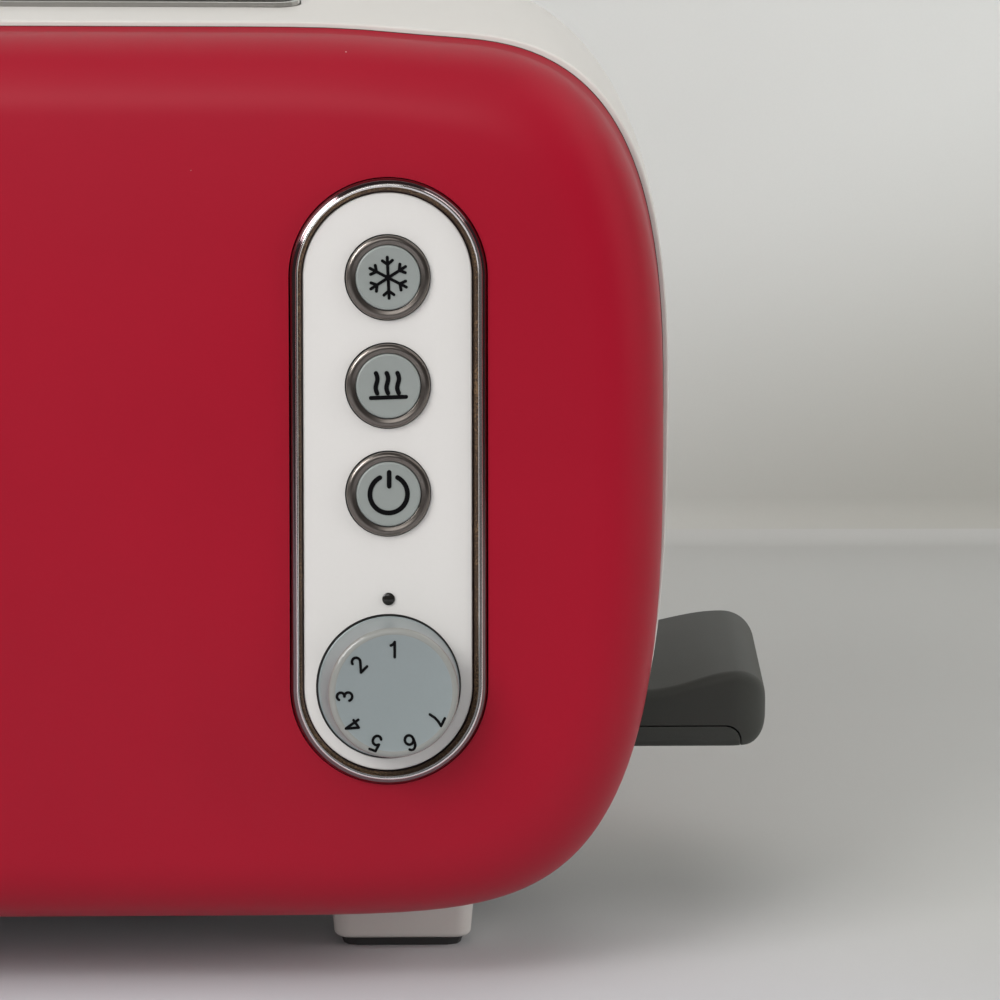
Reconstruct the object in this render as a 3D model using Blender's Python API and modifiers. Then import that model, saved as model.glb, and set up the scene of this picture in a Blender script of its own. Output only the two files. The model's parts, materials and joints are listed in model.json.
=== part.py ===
# Two-slice toaster: a moulded body in three shells, a control panel on the front, a lever at the right end.
# Metres, +Z up, the front faces -Y, +X is to the right as seen from the front, the table is at Z 0.

import math

import bmesh
import bpy
from mathutils import Matrix, Vector

# Clearances
gap = 0.0003                    # between pieces that seat on each other
running_gap = 0.001             # round a piece that moves through an opening
overrun = 0.01                  # how far a cutter reaches past what it cuts
merge_distance = 0.00002        # between points of a turned shape that are one

# Body outline as seen from the front, a rounded box whose sides and crown have exponents of their own
shell_half_length = 0.131
shell_rise = 0.086              # from the widest level up to the top
shell_drop = 0.0975             # from the widest level down to the underside
side_exponent = 7.8
crown_exponent = 2.73
outline_quarter_points = 13

# Housing, the pale band between the shells
band_half_width = 0.0525
band_step = 0.003               # how far it stands proud of the shells
band_crown = 0.001
band_edge_radius = 0.002
band_flange = 0.009
band_wall = 0.0025

# Red shells
shell_depth = 0.0315            # from the housing to the face, at the widest level
shell_lean_slope = 0.11         # how much deeper the shell gets for each metre down
shell_crown = 0.004
shell_edge_radius = 0.017
shell_draft = 0.0008
shell_wall = 0.0025
outer_crown_shares = (0.35, 0.7, 1)
inner_crown_shares = (0.4, 1)

# Feet, their pads and screws
foot_height = 0.0089            # from the pad to the housing at its lowest
foot_length = 0.031
foot_width = 0.026
foot_taper = 0.001
foot_corner_radius = 0.004
foot_end_margin = 0.0145        # from the end of the base plate to the middle of a foot
foot_side_margin = 0.0155       # from the housing's face to the middle of a foot
pad_height = 0.0016
pad_inset = 0.0025
screw_head_radius = 0.0032
screw_head_height = 0.0022
screw_radius = 0.0015
screw_cover = 0.0012            # from the underside of the foot to the screw head

# Base plate
base_end_margin = 0.01          # from the body's wall at the floor to the base plate
base_floor_height = 0.006       # from its lowest point up to the flat floor
rail_height = 0.0032
rail_width = 0.003
rail_margin = 0.0135            # from the side of the crumb tray to the middle of a rail
vent_length = 0.03
vent_width = 0.004
vent_pitch = 0.014
vent_rows = 2
vent_columns = 7
vent_margin = 0.0075            # from half the housing's width to the spacing of the rows
boss_radius = 0.005
boss_height = 0.004
boss_margin = 0.0015            # from the boss to the end of the base plate

# Bread chamber and slots
chamber_end_margin = 0.0025     # from the left end of the base plate to the chamber
slot_end_margin = 0.004         # from the ends of the chamber to the slots
slot_side_margin = 0.002        # from half the chamber's width to the spacing of the slots
slot_partition = 0.012          # between the two slots
slot_corner_radius = 0.006
slot_opening_depth = 0.02
liner_wall = 0.0012
liner_depth = 0.022
liner_proud = 0.0008
sheet = 0.001                   # thickness of the chamber's steel
end_plate_margin = 0.0085       # from the housing's face to the side of the end plates
end_plate_clearance = 0.0015    # between the end plates and the crumb tray
end_plate_top_gap = 0.03        # between the end plates and the top of the body
leg_width = 0.002
heater_thickness = 0.001
heater_margin = 0.0025          # from the side of the end plates to an outer heater
heater_height = 0.122
heater_ribbon = 0.0016
heater_ribbon_rise = 0.0004
heater_ribbon_margin = 0.008
heater_turns = 6
reflector_thickness = 0.0006
guard_inset = 0.0015            # of the wire guards from the sides of a slot
guard_wire_radius = 0.0009
guard_height = 0.105
guard_uprights = 5
guard_margin = 0.009

# Crumb tray
tray_margin = 0.0025            # from the side of the end plates to the tray
tray_height = 0.0075
tray_wall = 0.0008
tray_end_clearance = 0.0052     # from the tray to the body's wall
handle_opening_sill = 0.009     # from the lowest point of the body to the opening
handle_opening_height = 0.0098
handle_tongue_margin = 0.014
handle_tongue_thickness = 0.002
handle_lip = 0.004
handle_lip_thickness = 0.0025
handle_lip_half_width = 0.018

# Lever, as it lies when it is pressed down
lever_inner_margin = 0.0027     # from its inner end to where the shells reach
lever_length = 0.0312
lever_side_margin = 0.0225      # from the housing's face to the side of the lever
lever_underside = 0.0388        # above the table
lever_thickness = 0.013
lever_rise = 0.0035             # how much its outer part curls up
lever_top_radius = 0.009
lever_bottom_radius = 0.005
lever_corner_radius = 0.008
lever_edge_radius = 0.0028
lever_edge_limit_share = 0.45   # of the lever's height where it thins out
lever_stations = 5
lever_travel = 0.06
insert_length = 0.0232
insert_height = 0.005
insert_corner_radius = 0.0035
arm_half_thickness = 0.001
arm_height = 0.005
arm_lift = 0.0017               # from the insert to the arm
arm_end_cover = 0.011

# Recess in the right end that the lever runs in
recess_floor_margin = 0.004     # from its floor to where the shells reach
recess_margin = 0.002
recess_wall = 0.0025
recess_corner_radius = 0.006

# Carriage and what lifts it
rod_radius = 0.0025
rod_offset = 0.025              # from the right end plate to the rod
rod_top_gap = 0.012             # from the end plates' top to the rod's flange
rod_end = 0.004
flange_half_width = 0.01
flange_overhang = 0.012
crossbar_offset = 0.005
crossbar_thickness = 0.002
crossbar_overhang = 0.007       # past the middle of a slot
crossbar_drop = 0.001
crossbar_height = 0.02
slider_half_width = 0.007
slider_overhang = 0.008
slider_height = 0.024
slider_lift = 0.002
arm_socket = 0.005
rack_clearance = 0.008          # from the end plates' lower edge to the racks
rack_rail_half_width = 0.0012
rack_rail_height = 0.006
rack_end_gap = 0.006
rack_finger_width = 0.002
rack_finger_height = 0.002
rack_finger_margin = 0.006      # from the ends of the fingers to the sides of a slot
rack_fingers = 6
rack_slot_half_width = 0.004
spring_radius = 0.005
spring_wire_radius = 0.0006
spring_turns = 8
spring_turn_points = 8

# Electromagnet
magnet_offset_x = 0.017         # from the right end plate to its middle
magnet_margin = 0.008           # from the end of the crossbar to its middle
armature_half_width = 0.007
armature_thickness = 0.002
armature_length = 0.022
magnet_post_half_width = 0.0035
magnet_foot_half_width = 0.008
magnet_foot_height = 0.002
coil_play = 0.0004
coil_winding_radius = 0.0072
coil_flange_radius = 0.0084
coil_flange = 0.001
coil_end_gap = 0.002

# Control panel, along its own tilted frame
panel_side_margin = 0.0583      # from the panel's middle to where the shells reach
panel_lowering = 0.0037         # from the widest level down to the panel's middle
dot_pitch = 0.0216              # from the last button to the index dot
bezel_radius = 0.02035
bezel_rise = 0.0014
bezel_depth = 0.0075
bezel_bead_radius = 0.0012
bezel_ledge = 0.0016
bezel_ledge_thickness = 0.0015
plate_radius = 0.0171
plate_thickness = 0.002
plate_edge = 0.0004
panel_arc_steps = 14
button_pitch = 0.0221
button_radius = 0.00665
button_rise = 0.0014
button_dish = 0.0002
button_edge = 0.0004
button_travel = 0.0015
button_flange_radius = 0.0075
button_flange_thickness = 0.001
button_stem_radius = 0.0016
ring_radius = 0.0088
ring_rise = 0.0016
ring_edge = 0.0005
ring_sleeve_radius = 0.0079
ring_sleeve_depth = 0.0015      # below the plate
dot_radius = 0.0013
dot_rise = 0.0008
dot_peg_radius = 0.0007
dot_offset = 0.018              # above the dial
dial_radius = 0.0145
dial_top_radius = 0.01335
dial_height = 0.0125
dial_shoulder = 0.0016
dial_wall = 0.0016
dial_clearance = 0.0006
dial_hub_radius = 0.0052
dial_socket_depth = 0.009
shaft_radius = 0.003
bushing_radius = 0.0044
pot_radius = 0.008
pot_height = 0.007
shaft_bottom = 0.003            # from the bottom of the potentiometer to its shaft
board_depth = 0.0195            # from the plate's face to the board
board_thickness = 0.0016
board_half_width = 0.015
board_half_length = 0.05
post_radius = 0.002
post_offset = 0.0125
post_level_shares = (0.37, -0.24)
switch_half_width = 0.003
switch_height = 0.0036
switch_plunger_radius = 0.0017
switch_plunger_height = 0.0014

# Cord gland in the back
gland_side_margin = 0.061
gland_lowering = 0.069          # from the widest level down to its middle
gland_radius = 0.0055
gland_flange_radius = 0.0085
gland_flange_thickness = 0.0016
gland_bore_radius = 0.004
gland_depth = 0.009

round_steps = 18
small_round_steps = 12
dial_steps = 30
wire_sides = 6

# How far the body's outline, grown by an offset, reaches sideways at a level above the table
def wall_reach(level, offset):
    height = shell_rise if level > mid_height else shell_drop
    share = abs(level - mid_height) / (height + offset)
    return (shell_half_length + offset) * (1 - share ** crown_exponent) ** (1 / side_exponent)


# Levels and places that follow from these
mid_height = pad_height + foot_height + band_step + shell_drop
body_top = mid_height + shell_rise + band_step
body_bottom = pad_height + foot_height
floor_level = body_bottom + base_floor_height
side_growth = band_step - band_crown
foot_spacing_y = 2 * (band_half_width - foot_side_margin)
vent_row_spacing = band_half_width - vent_margin
end_plate_half_width = band_half_width - end_plate_margin
heater_offset = end_plate_half_width - heater_margin
slot_spacing = end_plate_half_width - slot_side_margin
slot_width = slot_spacing - slot_partition
guard_offset = slot_width / 2 - guard_inset
tray_half_width = end_plate_half_width - tray_margin
rail_spacing = 2 * (tray_half_width - rail_margin)
handle_half_width = end_plate_half_width
handle_tongue_half_width = handle_half_width - handle_tongue_margin
lever_half_width = band_half_width - lever_side_margin
crossbar_half_width = slot_spacing / 2 + crossbar_overhang
rack_finger_half_length = slot_width / 2 - rack_finger_margin
magnet_offset_y = crossbar_half_width - magnet_margin
control_span = 2 * button_pitch + dot_pitch + dot_offset
base_half_length = wall_reach(floor_level, side_growth) - base_end_margin
foot_spacing_x = 2 * (base_half_length - foot_end_margin)
rod_x = base_half_length - boss_margin - boss_radius
chamber_left = chamber_end_margin - base_half_length
chamber_right = rod_x - rod_offset - sheet
chamber_middle = (chamber_left + chamber_right) / 2
chamber_length = chamber_right - chamber_left
slot_length = chamber_length - 2 * slot_end_margin
tray_level = floor_level + rail_height + gap
end_plate_bottom = tray_level + tray_height + end_plate_clearance
end_plate_top = body_top - end_plate_top_gap
rod_flange_level = end_plate_top - rod_top_gap
lever_inner_reach = shell_half_length - lever_inner_margin
lever_outer_reach = lever_inner_reach + lever_length
recess_floor_reach = shell_half_length - recess_floor_margin
insert_top = lever_underside + insert_height
arm_bottom = insert_top + arm_lift
arm_top = arm_bottom + arm_height
rack_bottom = end_plate_bottom + rack_clearance
rack_top = rack_bottom + rack_rail_height
crossbar_x = chamber_right + sheet + crossbar_offset
crossbar_bottom = rack_bottom - crossbar_drop
slider_bottom = arm_bottom - arm_height - slider_lift
slider_top = slider_bottom + slider_height
slider_end = rod_x + slider_overhang
handle_bottom = body_bottom + handle_opening_sill
handle_top = handle_bottom + handle_opening_height
tray_left = tray_end_clearance + band_wall - wall_reach(handle_bottom, side_growth)
button_levels = [control_span / 2 - i * button_pitch for i in range(3)]
dial_level = -control_span / 2

for old in list(bpy.data.objects):
    bpy.data.objects.remove(old, do_unlink=True)

parts = bpy.data.collections.new("toaster")
cutters = bpy.data.collections.new("toaster_cutters")
bpy.context.scene.collection.children.link(parts)
bpy.context.scene.collection.children.link(cutters)


def make_material(name, colour, roughness, metallic=0.0):
    material = bpy.data.materials.new(name)
    material.use_nodes = True
    shader = material.node_tree.nodes["Principled BSDF"]
    shader.inputs["Base Color"].default_value = (*colour, 1.0)
    shader.inputs["Roughness"].default_value = roughness
    shader.inputs["Metallic"].default_value = metallic
    return material


finishes = {
    "red_shell": ((0.37, 0.015, 0.03), 0.42),
    "pale_housing": ((0.62, 0.6, 0.55), 0.4),
    "panel_white": ((0.68, 0.67, 0.65), 0.35),
    "chrome": ((0.72, 0.7, 0.7), 0.1, 1.0),
    "gunmetal": ((0.2, 0.19, 0.17), 0.3, 1.0),
    "grey_plastic": ((0.27, 0.31, 0.31), 0.4),
    "dark_plastic": ((0.07, 0.075, 0.07), 0.5),
    "black_gloss": ((0.012, 0.011, 0.01), 0.15),
    "rubber": ((0.05, 0.05, 0.05), 0.8),
    "steel": ((0.55, 0.55, 0.55), 0.3, 1.0),
    "mica": ((0.45, 0.36, 0.25), 0.6),
    "copper": ((0.6, 0.25, 0.12), 0.35, 1.0),
    "board_green": ((0.03, 0.16, 0.07), 0.5),
}
materials = {name: make_material(name, *finish) for name, finish in finishes.items()}


# Objects

def add_object(name, mesh, finish, parent):
    data = bpy.data.meshes.new(name)
    mesh.to_mesh(data)
    mesh.free()
    part = bpy.data.objects.new(name, data)
    if finish:
        data.materials.append(materials[finish])
        parts.objects.link(part)
    else:
        part.hide_render = True
        part.display_type = "WIRE"
        cutters.objects.link(part)
    part.parent = parent
    return part


def add_empty(name, parent, matrix=None):
    empty = bpy.data.objects.new(name, None)
    parts.objects.link(empty)
    empty.parent = parent
    if matrix:
        empty.matrix_local = matrix
    return empty


def smooth(part, angle=35):
    part.data.shade_smooth()
    part.data.set_sharp_from_angle(angle=math.radians(angle))
    return part


def boolean(part, tool, operation="DIFFERENCE"):
    modifier = part.modifiers.new(f"{operation.lower()}_{tool.name}", "BOOLEAN")
    modifier.operation = operation
    modifier.solver = "EXACT"
    modifier.object = tool
    return part


def box(name, low, high, finish=None, parent=None):
    mesh = bmesh.new()
    bmesh.ops.create_cube(mesh, size=1)
    low, high = Vector(low), Vector(high)
    for vert in mesh.verts:
        share = vert.co + Vector((0.5, 0.5, 0.5))
        vert.co = low + Vector([share[i] * (high[i] - low[i]) for i in range(3)])
    return add_object(name, mesh, finish, parent)


# A box whose edges along one axis are rounded
def rounded_box(name, low, high, radius, axis, finish=None, parent=None, segments=4):
    part = box(name, low, high, finish, parent)
    mesh = bmesh.new()
    mesh.from_mesh(part.data)
    along = [e for e in mesh.edges if abs((e.verts[0].co - e.verts[1].co).normalized()[axis]) > 0.5]
    bmesh.ops.bevel(mesh, geom=along, offset=radius, segments=segments, profile=0.5, affect="EDGES")
    mesh.to_mesh(part.data)
    mesh.free()
    return part


def cylinder(name, radius, bottom, top, place=(0, 0), finish=None, parent=None, steps=round_steps):
    mesh = bmesh.new()
    bmesh.ops.create_cone(
        mesh, cap_ends=True, segments=steps, radius1=radius, radius2=radius, depth=top - bottom
    )
    bmesh.ops.translate(mesh, verts=mesh.verts, vec=(place[0], place[1], (bottom + top) / 2))
    return smooth(add_object(name, mesh, finish, parent))


# A turned piece. Its profile is radius and height, and runs down the outer side.
def turned(name, profile, finish=None, parent=None, place=(0, 0), closed=False, steps=round_steps):
    mesh = bmesh.new()
    row = [mesh.verts.new((radius, 0, height)) for radius, height in profile]
    for first, second in zip(row, row[1:] + row[:1] if closed else row[1:]):
        mesh.edges.new((first, second))
    part = add_object(name, mesh, finish, parent)
    part.location = (place[0], place[1], 0)
    screw = part.modifiers.new("turn", "SCREW")
    screw.steps = steps
    screw.render_steps = steps
    screw.use_merge_vertices = True
    screw.merge_threshold = merge_distance
    return part


# A skin through rings of points, capped at both ends or closed on itself
def loft(name, rings, finish=None, parent=None, closed=False):
    mesh = bmesh.new()
    rows = [[mesh.verts.new(point) for point in ring] for ring in rings]
    follows = rows[1:] + rows[:1] if closed else rows[1:]
    for row, following in zip(rows, follows):
        for i in range(len(row)):
            j = (i + 1) % len(row)
            mesh.faces.new((row[i], row[j], following[j], following[i]))
    if not closed:
        mesh.faces.new(rows[0][::-1])
        mesh.faces.new(rows[-1])
    bmesh.ops.recalc_face_normals(mesh, faces=mesh.faces)
    return smooth(add_object(name, mesh, finish, parent))


# Body outline

def signed_power(value, power):
    return 0.0 if abs(value) < 1e-9 else math.copysign(abs(value) ** power, value)


def outline_point(angle, half_length, height):
    x = half_length * signed_power(math.cos(angle), 2 / side_exponent)
    z = height * signed_power(math.sin(angle), 2 / crown_exponent)
    return x, z


# Angles in one quarter that space the outline's points evenly, half by its length and half by its turning
def quarter_angles(height):
    fine = [i / 400 * math.pi / 2 for i in range(401)]
    points = [outline_point(angle, shell_half_length, height) for angle in fine]
    pairs = list(zip(points, points[1:]))
    headings = [math.atan2(first[0] - second[0], second[1] - first[1]) for first, second in pairs]
    lengths = [math.dist(first, second) for first, second in pairs]
    turns = [0.0] + [second - first for first, second in zip(headings, headings[1:])]
    travelled = [0.0]
    for length, turn in zip(lengths, turns):
        travelled.append(travelled[-1] + length / sum(lengths) + turn / sum(turns))
    angles = []
    for k in range(outline_quarter_points):
        target = travelled[-1] * k / outline_quarter_points
        i = max(j for j, reached in enumerate(travelled[:-1]) if reached <= target)
        part = (target - travelled[i]) / (travelled[i + 1] - travelled[i])
        angles.append(fine[i] + part * (fine[i + 1] - fine[i]))
    return angles


upper = quarter_angles(shell_rise)
lower = quarter_angles(shell_drop)
outline_angles = upper + [math.pi / 2] + [math.pi - a for a in upper[::-1]]
outline_angles += [math.pi + a for a in lower[1:]] + [math.pi * 1.5] + [math.pi * 2 - a for a in lower[:0:-1]]


# One ring of the body's outline, grown by an offset and shrunk to a share, at a depth that changes with height
def body_ring(offset, depth, slope=0.0, share=1.0):
    ring = []
    for angle in outline_angles:
        height = shell_rise if math.sin(angle) > 0 else shell_drop
        x, z = outline_point(angle, shell_half_length + offset, height + offset)
        ring.append((x * share, depth + slope * z * share, mid_height + z * share))
    return ring


# The housing's outer skin from front to back, as offset from the shells' outline and depth
def band_stations(grow=0.0):
    stations = []
    for share in (-1, 0, 1):
        flat = band_half_width - band_edge_radius
        stations.append((band_step + grow - band_crown * share * share, share * flat))
    for step in (1, 2):
        turn = step / 2 * math.pi / 2
        inset = band_crown + band_edge_radius * (1 - math.cos(turn))
        depth = band_half_width - band_edge_radius * (1 - math.sin(turn))
        stations.append((band_step + grow - inset, depth))
        stations.insert(0, (band_step + grow - inset, -depth))
    return stations


def band_form(name, grow=0.0, finish=None, parent=None):
    return loft(name, [body_ring(*station) for station in band_stations(grow)], finish, parent)


# Red shells

# Rings from the crown out to the rim. Side is -1 for the front and 1 for the back.
def shell_rings(side, inset, turn_steps, crown_shares):
    joint = band_half_width + gap
    radius = shell_edge_radius - inset
    depth = shell_depth - inset
    last_turn = math.pi / 2 - 2 * shell_crown / shell_rise
    rounding = radius * math.sin(last_turn)
    edge_inset = shell_draft + radius * (1 - math.cos(last_turn))
    lean = -side * shell_lean_slope
    rings = []
    for share in crown_shares:
        level = depth - shell_crown * share * share
        rings.append(body_ring(-inset - edge_inset, side * (joint + level), lean, share))
    for step in reversed(range(turn_steps)):
        turn = last_turn * step / turn_steps
        level = depth - shell_crown - rounding + radius * math.sin(turn)
        offset = -inset - shell_draft - radius * (1 - math.cos(turn))
        rings.append(body_ring(offset, side * (joint + level), lean))
    rings.append(body_ring(-inset, side * joint))
    return rings


def make_shell(name, side):
    outer = shell_rings(side, 0.0, 4, outer_crown_shares)
    inner = shell_rings(side, shell_wall, 2, inner_crown_shares)
    return loft(name, outer + inner[::-1], "red_shell", root)


# How far out the shell's crown lies at a place on it, from 0 in the middle to 1 where the edge turns
def crown_share(x, z):
    half_length = shell_half_length - shell_draft - shell_edge_radius
    height = (shell_rise if z > 0 else shell_drop) - shell_draft - shell_edge_radius
    low, high = 0.0, 1.0
    for _ in range(50):
        middle = (low + high) / 2
        reach = (abs(x) / half_length / middle) ** side_exponent + (abs(z) / height / middle) ** crown_exponent
        low, high = (middle, high) if reach > 1 else (low, middle)
    return high


def shell_face(side, x, z):
    level = shell_depth - shell_crown * crown_share(x, z) ** 2 - shell_lean_slope * z
    return Vector((x, side * (band_half_width + gap + level), mid_height + z))


# A frame that lies on a shell's face, with its Z axis outward and its Y axis up the face
def face_frame(side, x, z):
    step = shell_wall
    across = shell_face(side, x + step, z) - shell_face(side, x - step, z)
    upward = shell_face(side, x, z + step) - shell_face(side, x, z - step)
    normal = across.cross(upward).normalized() * -side
    up = (Vector((0, 0, 1)) - normal * normal.z).normalized()
    frame = Matrix((up.cross(normal), up, normal)).transposed().to_4x4()
    frame.translation = shell_face(side, x, z)
    return frame


# Panel outlines, two half circles joined by straight sides
def stadium_ring(radius, height):
    ring = []
    for centre, start in ((control_span / 2, 0.0), (-control_span / 2, math.pi)):
        for i in range(panel_arc_steps + 1):
            angle = start + math.pi * i / panel_arc_steps
            ring.append((radius * math.cos(angle), centre + radius * math.sin(angle), height))
    return ring


def stadium(name, radius, bottom, top, finish=None, parent=None):
    return loft(name, [stadium_ring(radius, bottom), stadium_ring(radius, top)], finish, parent)


def make_housing():
    inner = [
        (-band_flange, band_half_width),
        (-band_flange, band_half_width - band_wall),
        (side_growth - band_wall, band_half_width - band_wall),
        (side_growth - band_wall, -band_half_width + band_wall),
        (-band_flange, -band_half_width + band_wall),
        (-band_flange, -band_half_width),
    ]
    rings = [body_ring(*station) for station in band_stations() + inner]
    housing = loft("center_housing", rings, "pale_housing", root, closed=True)

    # Recess for the lever, with a wall of its own behind it
    recess_bottom = lever_underside - recess_margin
    recess_top = lever_underside + lever_thickness + lever_rise + lever_travel + 2 * recess_margin
    recess_half_width = lever_half_width + recess_margin
    tub = rounded_box(
        "recess_tub",
        (recess_floor_reach - recess_wall, -recess_half_width - recess_wall, recess_bottom - recess_wall),
        (lever_outer_reach, recess_half_width + recess_wall, recess_top + recess_wall),
        recess_corner_radius + recess_wall, 0,
    )
    boolean(tub, band_form("recess_limit", -band_wall / 2), "INTERSECT")
    boolean(housing, tub, "UNION")
    recess = rounded_box(
        "recess_cut",
        (recess_floor_reach, -recess_half_width, recess_bottom),
        (lever_outer_reach + overrun, recess_half_width, recess_top),
        recess_corner_radius, 0,
    )
    boolean(housing, recess)
    slot = rounded_box(
        "lever_slot_cut",
        (slider_end + overrun, -arm_half_thickness - running_gap, arm_bottom - running_gap),
        (lever_outer_reach + overrun, arm_half_thickness + running_gap, arm_top + lever_travel + running_gap),
        arm_half_thickness, 0, segments=3,
    )
    boolean(housing, slot)

    # Openings for the base plate, the crumb tray and the bread
    base = box(
        "base_cut",
        (-base_half_length, -band_half_width - overrun, body_bottom - overrun),
        (base_half_length, band_half_width + overrun, floor_level + gap),
    )
    boolean(housing, base)
    tray = box(
        "tray_cut",
        (-shell_half_length - overrun, -handle_half_width, handle_bottom),
        (-base_half_length + overrun, handle_half_width, handle_top),
    )
    boolean(housing, tray)
    for side, label in ((-1, "front"), (1, "back")):
        boolean(housing, slot_box(f"bread_cut_{label}", side, 0.0, body_top - slot_opening_depth, overrun))
    return housing


def slot_box(name, side, inset, bottom, above, finish=None):
    middle_y = side * slot_spacing / 2
    half_x, half_y = slot_length / 2 - inset, slot_width / 2 - inset
    return rounded_box(
        name,
        (chamber_middle - half_x, middle_y - half_y, bottom),
        (chamber_middle + half_x, middle_y + half_y, body_top + above),
        slot_corner_radius - inset, 2, finish, root if finish else None,
    )


def make_liner(name, side):
    liner = slot_box(name, side, gap, body_top - liner_depth, overrun, "steel")
    bottom = body_top - liner_depth - overrun
    boolean(liner, slot_box(f"{name}_cut", side, gap + liner_wall, bottom, 2 * overrun))
    boolean(liner, band_form(f"{name}_limit", liner_proud), "INTERSECT")


def make_base_plate():
    plate = box(
        "base_plate",
        (-base_half_length + gap, -band_half_width - overrun, body_bottom - overrun),
        (base_half_length - gap, band_half_width + overrun, floor_level),
        "pale_housing", root,
    )
    boolean(plate, band_form("base_limit"), "INTERSECT")
    sunk = base_floor_height / 2
    for side in (-1, 1):
        middle = side * rail_spacing / 2
        rail = box(
            f"rail_{'front' if side < 0 else 'back'}",
            (chamber_left, middle - rail_width / 2, floor_level - sunk),
            (chamber_right, middle + rail_width / 2, floor_level + rail_height),
        )
        boolean(plate, rail, "UNION")
    boss = cylinder("rod_boss", boss_radius, floor_level - sunk, floor_level + boss_height, (rod_x, 0))
    boolean(plate, boss, "UNION")
    socket = cylinder("rod_socket", rod_radius + gap, floor_level, floor_level + overrun, (rod_x, 0))
    boolean(plate, socket)
    vents = bmesh.new()
    for row in range(vent_rows):
        for column in range(vent_columns):
            x = chamber_middle + (column - (vent_columns - 1) / 2) * vent_pitch
            y = (row - (vent_rows - 1) / 2) * vent_row_spacing
            placed = Matrix.Translation((x, y, floor_level)) @ Matrix.Diagonal(
                (vent_width, vent_length, 2 * (base_floor_height + overrun), 1)
            )
            bmesh.ops.create_cube(vents, size=1, matrix=placed)
    boolean(plate, add_object("vent_cut", vents, None, None))
    low, high = body_bottom - overrun, floor_level + overrun
    for x, y, label in foot_places():
        hole = cylinder(f"screw_hole_{label}", screw_radius + gap, low, high, (x, y), steps=small_round_steps)
        boolean(plate, hole)


def foot_places():
    for x_side, x_name in ((-1, "left"), (1, "right")):
        for y_side, y_name in ((-1, "front"), (1, "back")):
            yield x_side * foot_spacing_x / 2, y_side * foot_spacing_y / 2, f"{y_name}_{x_name}"


def tapered_block(name, place, half_length, half_width, bottom, top, taper, radius, finish):
    rings = []
    for height, inset in ((bottom, taper), (top, 0.0)):
        ring = []
        for x_side, y_side, start in ((1, 1, 0), (-1, 1, 90), (-1, -1, 180), (1, -1, 270)):
            for turn in (0, 45, 90):
                angle = math.radians(start + turn)
                x = x_side * (half_length - inset - radius) + radius * math.cos(angle)
                y = y_side * (half_width - inset - radius) + radius * math.sin(angle)
                ring.append((place[0] + x, place[1] + y, height))
        rings.append(ring)
    return loft(name, rings, finish, root)


def make_feet():
    for x, y, label in foot_places():
        bottom = pad_height + gap
        foot = tapered_block(
            f"foot_{label}", (x, y), foot_length / 2, foot_width / 2, bottom,
            body_bottom + base_floor_height, foot_taper, foot_corner_radius, "pale_housing",
        )
        boolean(foot, band_form(f"foot_limit_{label}", gap))
        head_seat = bottom + screw_cover + screw_head_height
        for hole_name, radius, low, high in (
            ("screw_recess", screw_head_radius + gap, pad_height - overrun, head_seat),
            ("shank_hole", screw_radius + gap, pad_height, floor_level + overrun),
        ):
            hole = cylinder(f"{hole_name}_{label}", radius, low, high, (x, y), steps=small_round_steps)
            boolean(foot, hole)
        tapered_block(
            f"foot_pad_{label}", (x, y), foot_length / 2 - pad_inset, foot_width / 2 - pad_inset,
            0.0, pad_height, foot_taper / 2, foot_corner_radius - foot_taper, "rubber",
        )
        head_bottom = head_seat - gap - screw_head_height
        profile = [
            (0, floor_level), (screw_radius, floor_level), (screw_radius, head_seat - gap),
            (screw_head_radius, head_seat - gap), (screw_head_radius, head_bottom), (0, head_bottom),
        ]
        turned(f"foot_screw_{label}", profile, "steel", root, (x, y), steps=small_round_steps)


# Chamber

def make_end_plate(name, low_x):
    side = "left" if low_x < 0 else "right"
    plate = box(
        name, (low_x, -end_plate_half_width, floor_level + gap),
        (low_x + sheet, end_plate_half_width, end_plate_top), "steel", root,
    )
    notch_half_width = end_plate_half_width - leg_width
    notch = box(
        f"tray_notch_{side}", (low_x - overrun, -notch_half_width, floor_level - overrun),
        (low_x + sheet + overrun, notch_half_width, end_plate_bottom),
    )
    boolean(plate, notch)
    return plate


def make_end_plates():
    make_end_plate("end_plate_left", chamber_left - sheet)
    plate = make_end_plate("end_plate_right", chamber_right)
    low = chamber_right + sheet / 2
    flange = box(
        "rod_flange", (low, -flange_half_width, rod_flange_level),
        (rod_x + flange_overhang, flange_half_width, rod_flange_level + sheet),
    )
    boolean(plate, flange, "UNION")
    hole = cylinder(
        "rod_hole", rod_radius + gap, rod_flange_level - overrun, rod_flange_level + overrun, (rod_x, 0)
    )
    boolean(plate, hole)
    for side, label in ((-1, "front"), (1, "back")):
        middle = side * slot_spacing / 2
        slot = box(
            f"rack_slot_{label}",
            (chamber_right - overrun, middle - rack_slot_half_width, rack_bottom - running_gap),
            (chamber_right + overrun, middle + rack_slot_half_width, rack_top + lever_travel + running_gap),
        )
        boolean(plate, slot)


# Cubes of one size along a row, as one tool
def row_of_boxes(name, half_size, places):
    mesh = bmesh.new()
    size = Matrix.Diagonal((half_size[0] * 2, half_size[1] * 2, half_size[2] * 2, 1))
    for place in places:
        bmesh.ops.create_cube(mesh, size=1, matrix=Matrix.Translation(place) @ size)
    return add_object(name, mesh, None, None)


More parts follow.
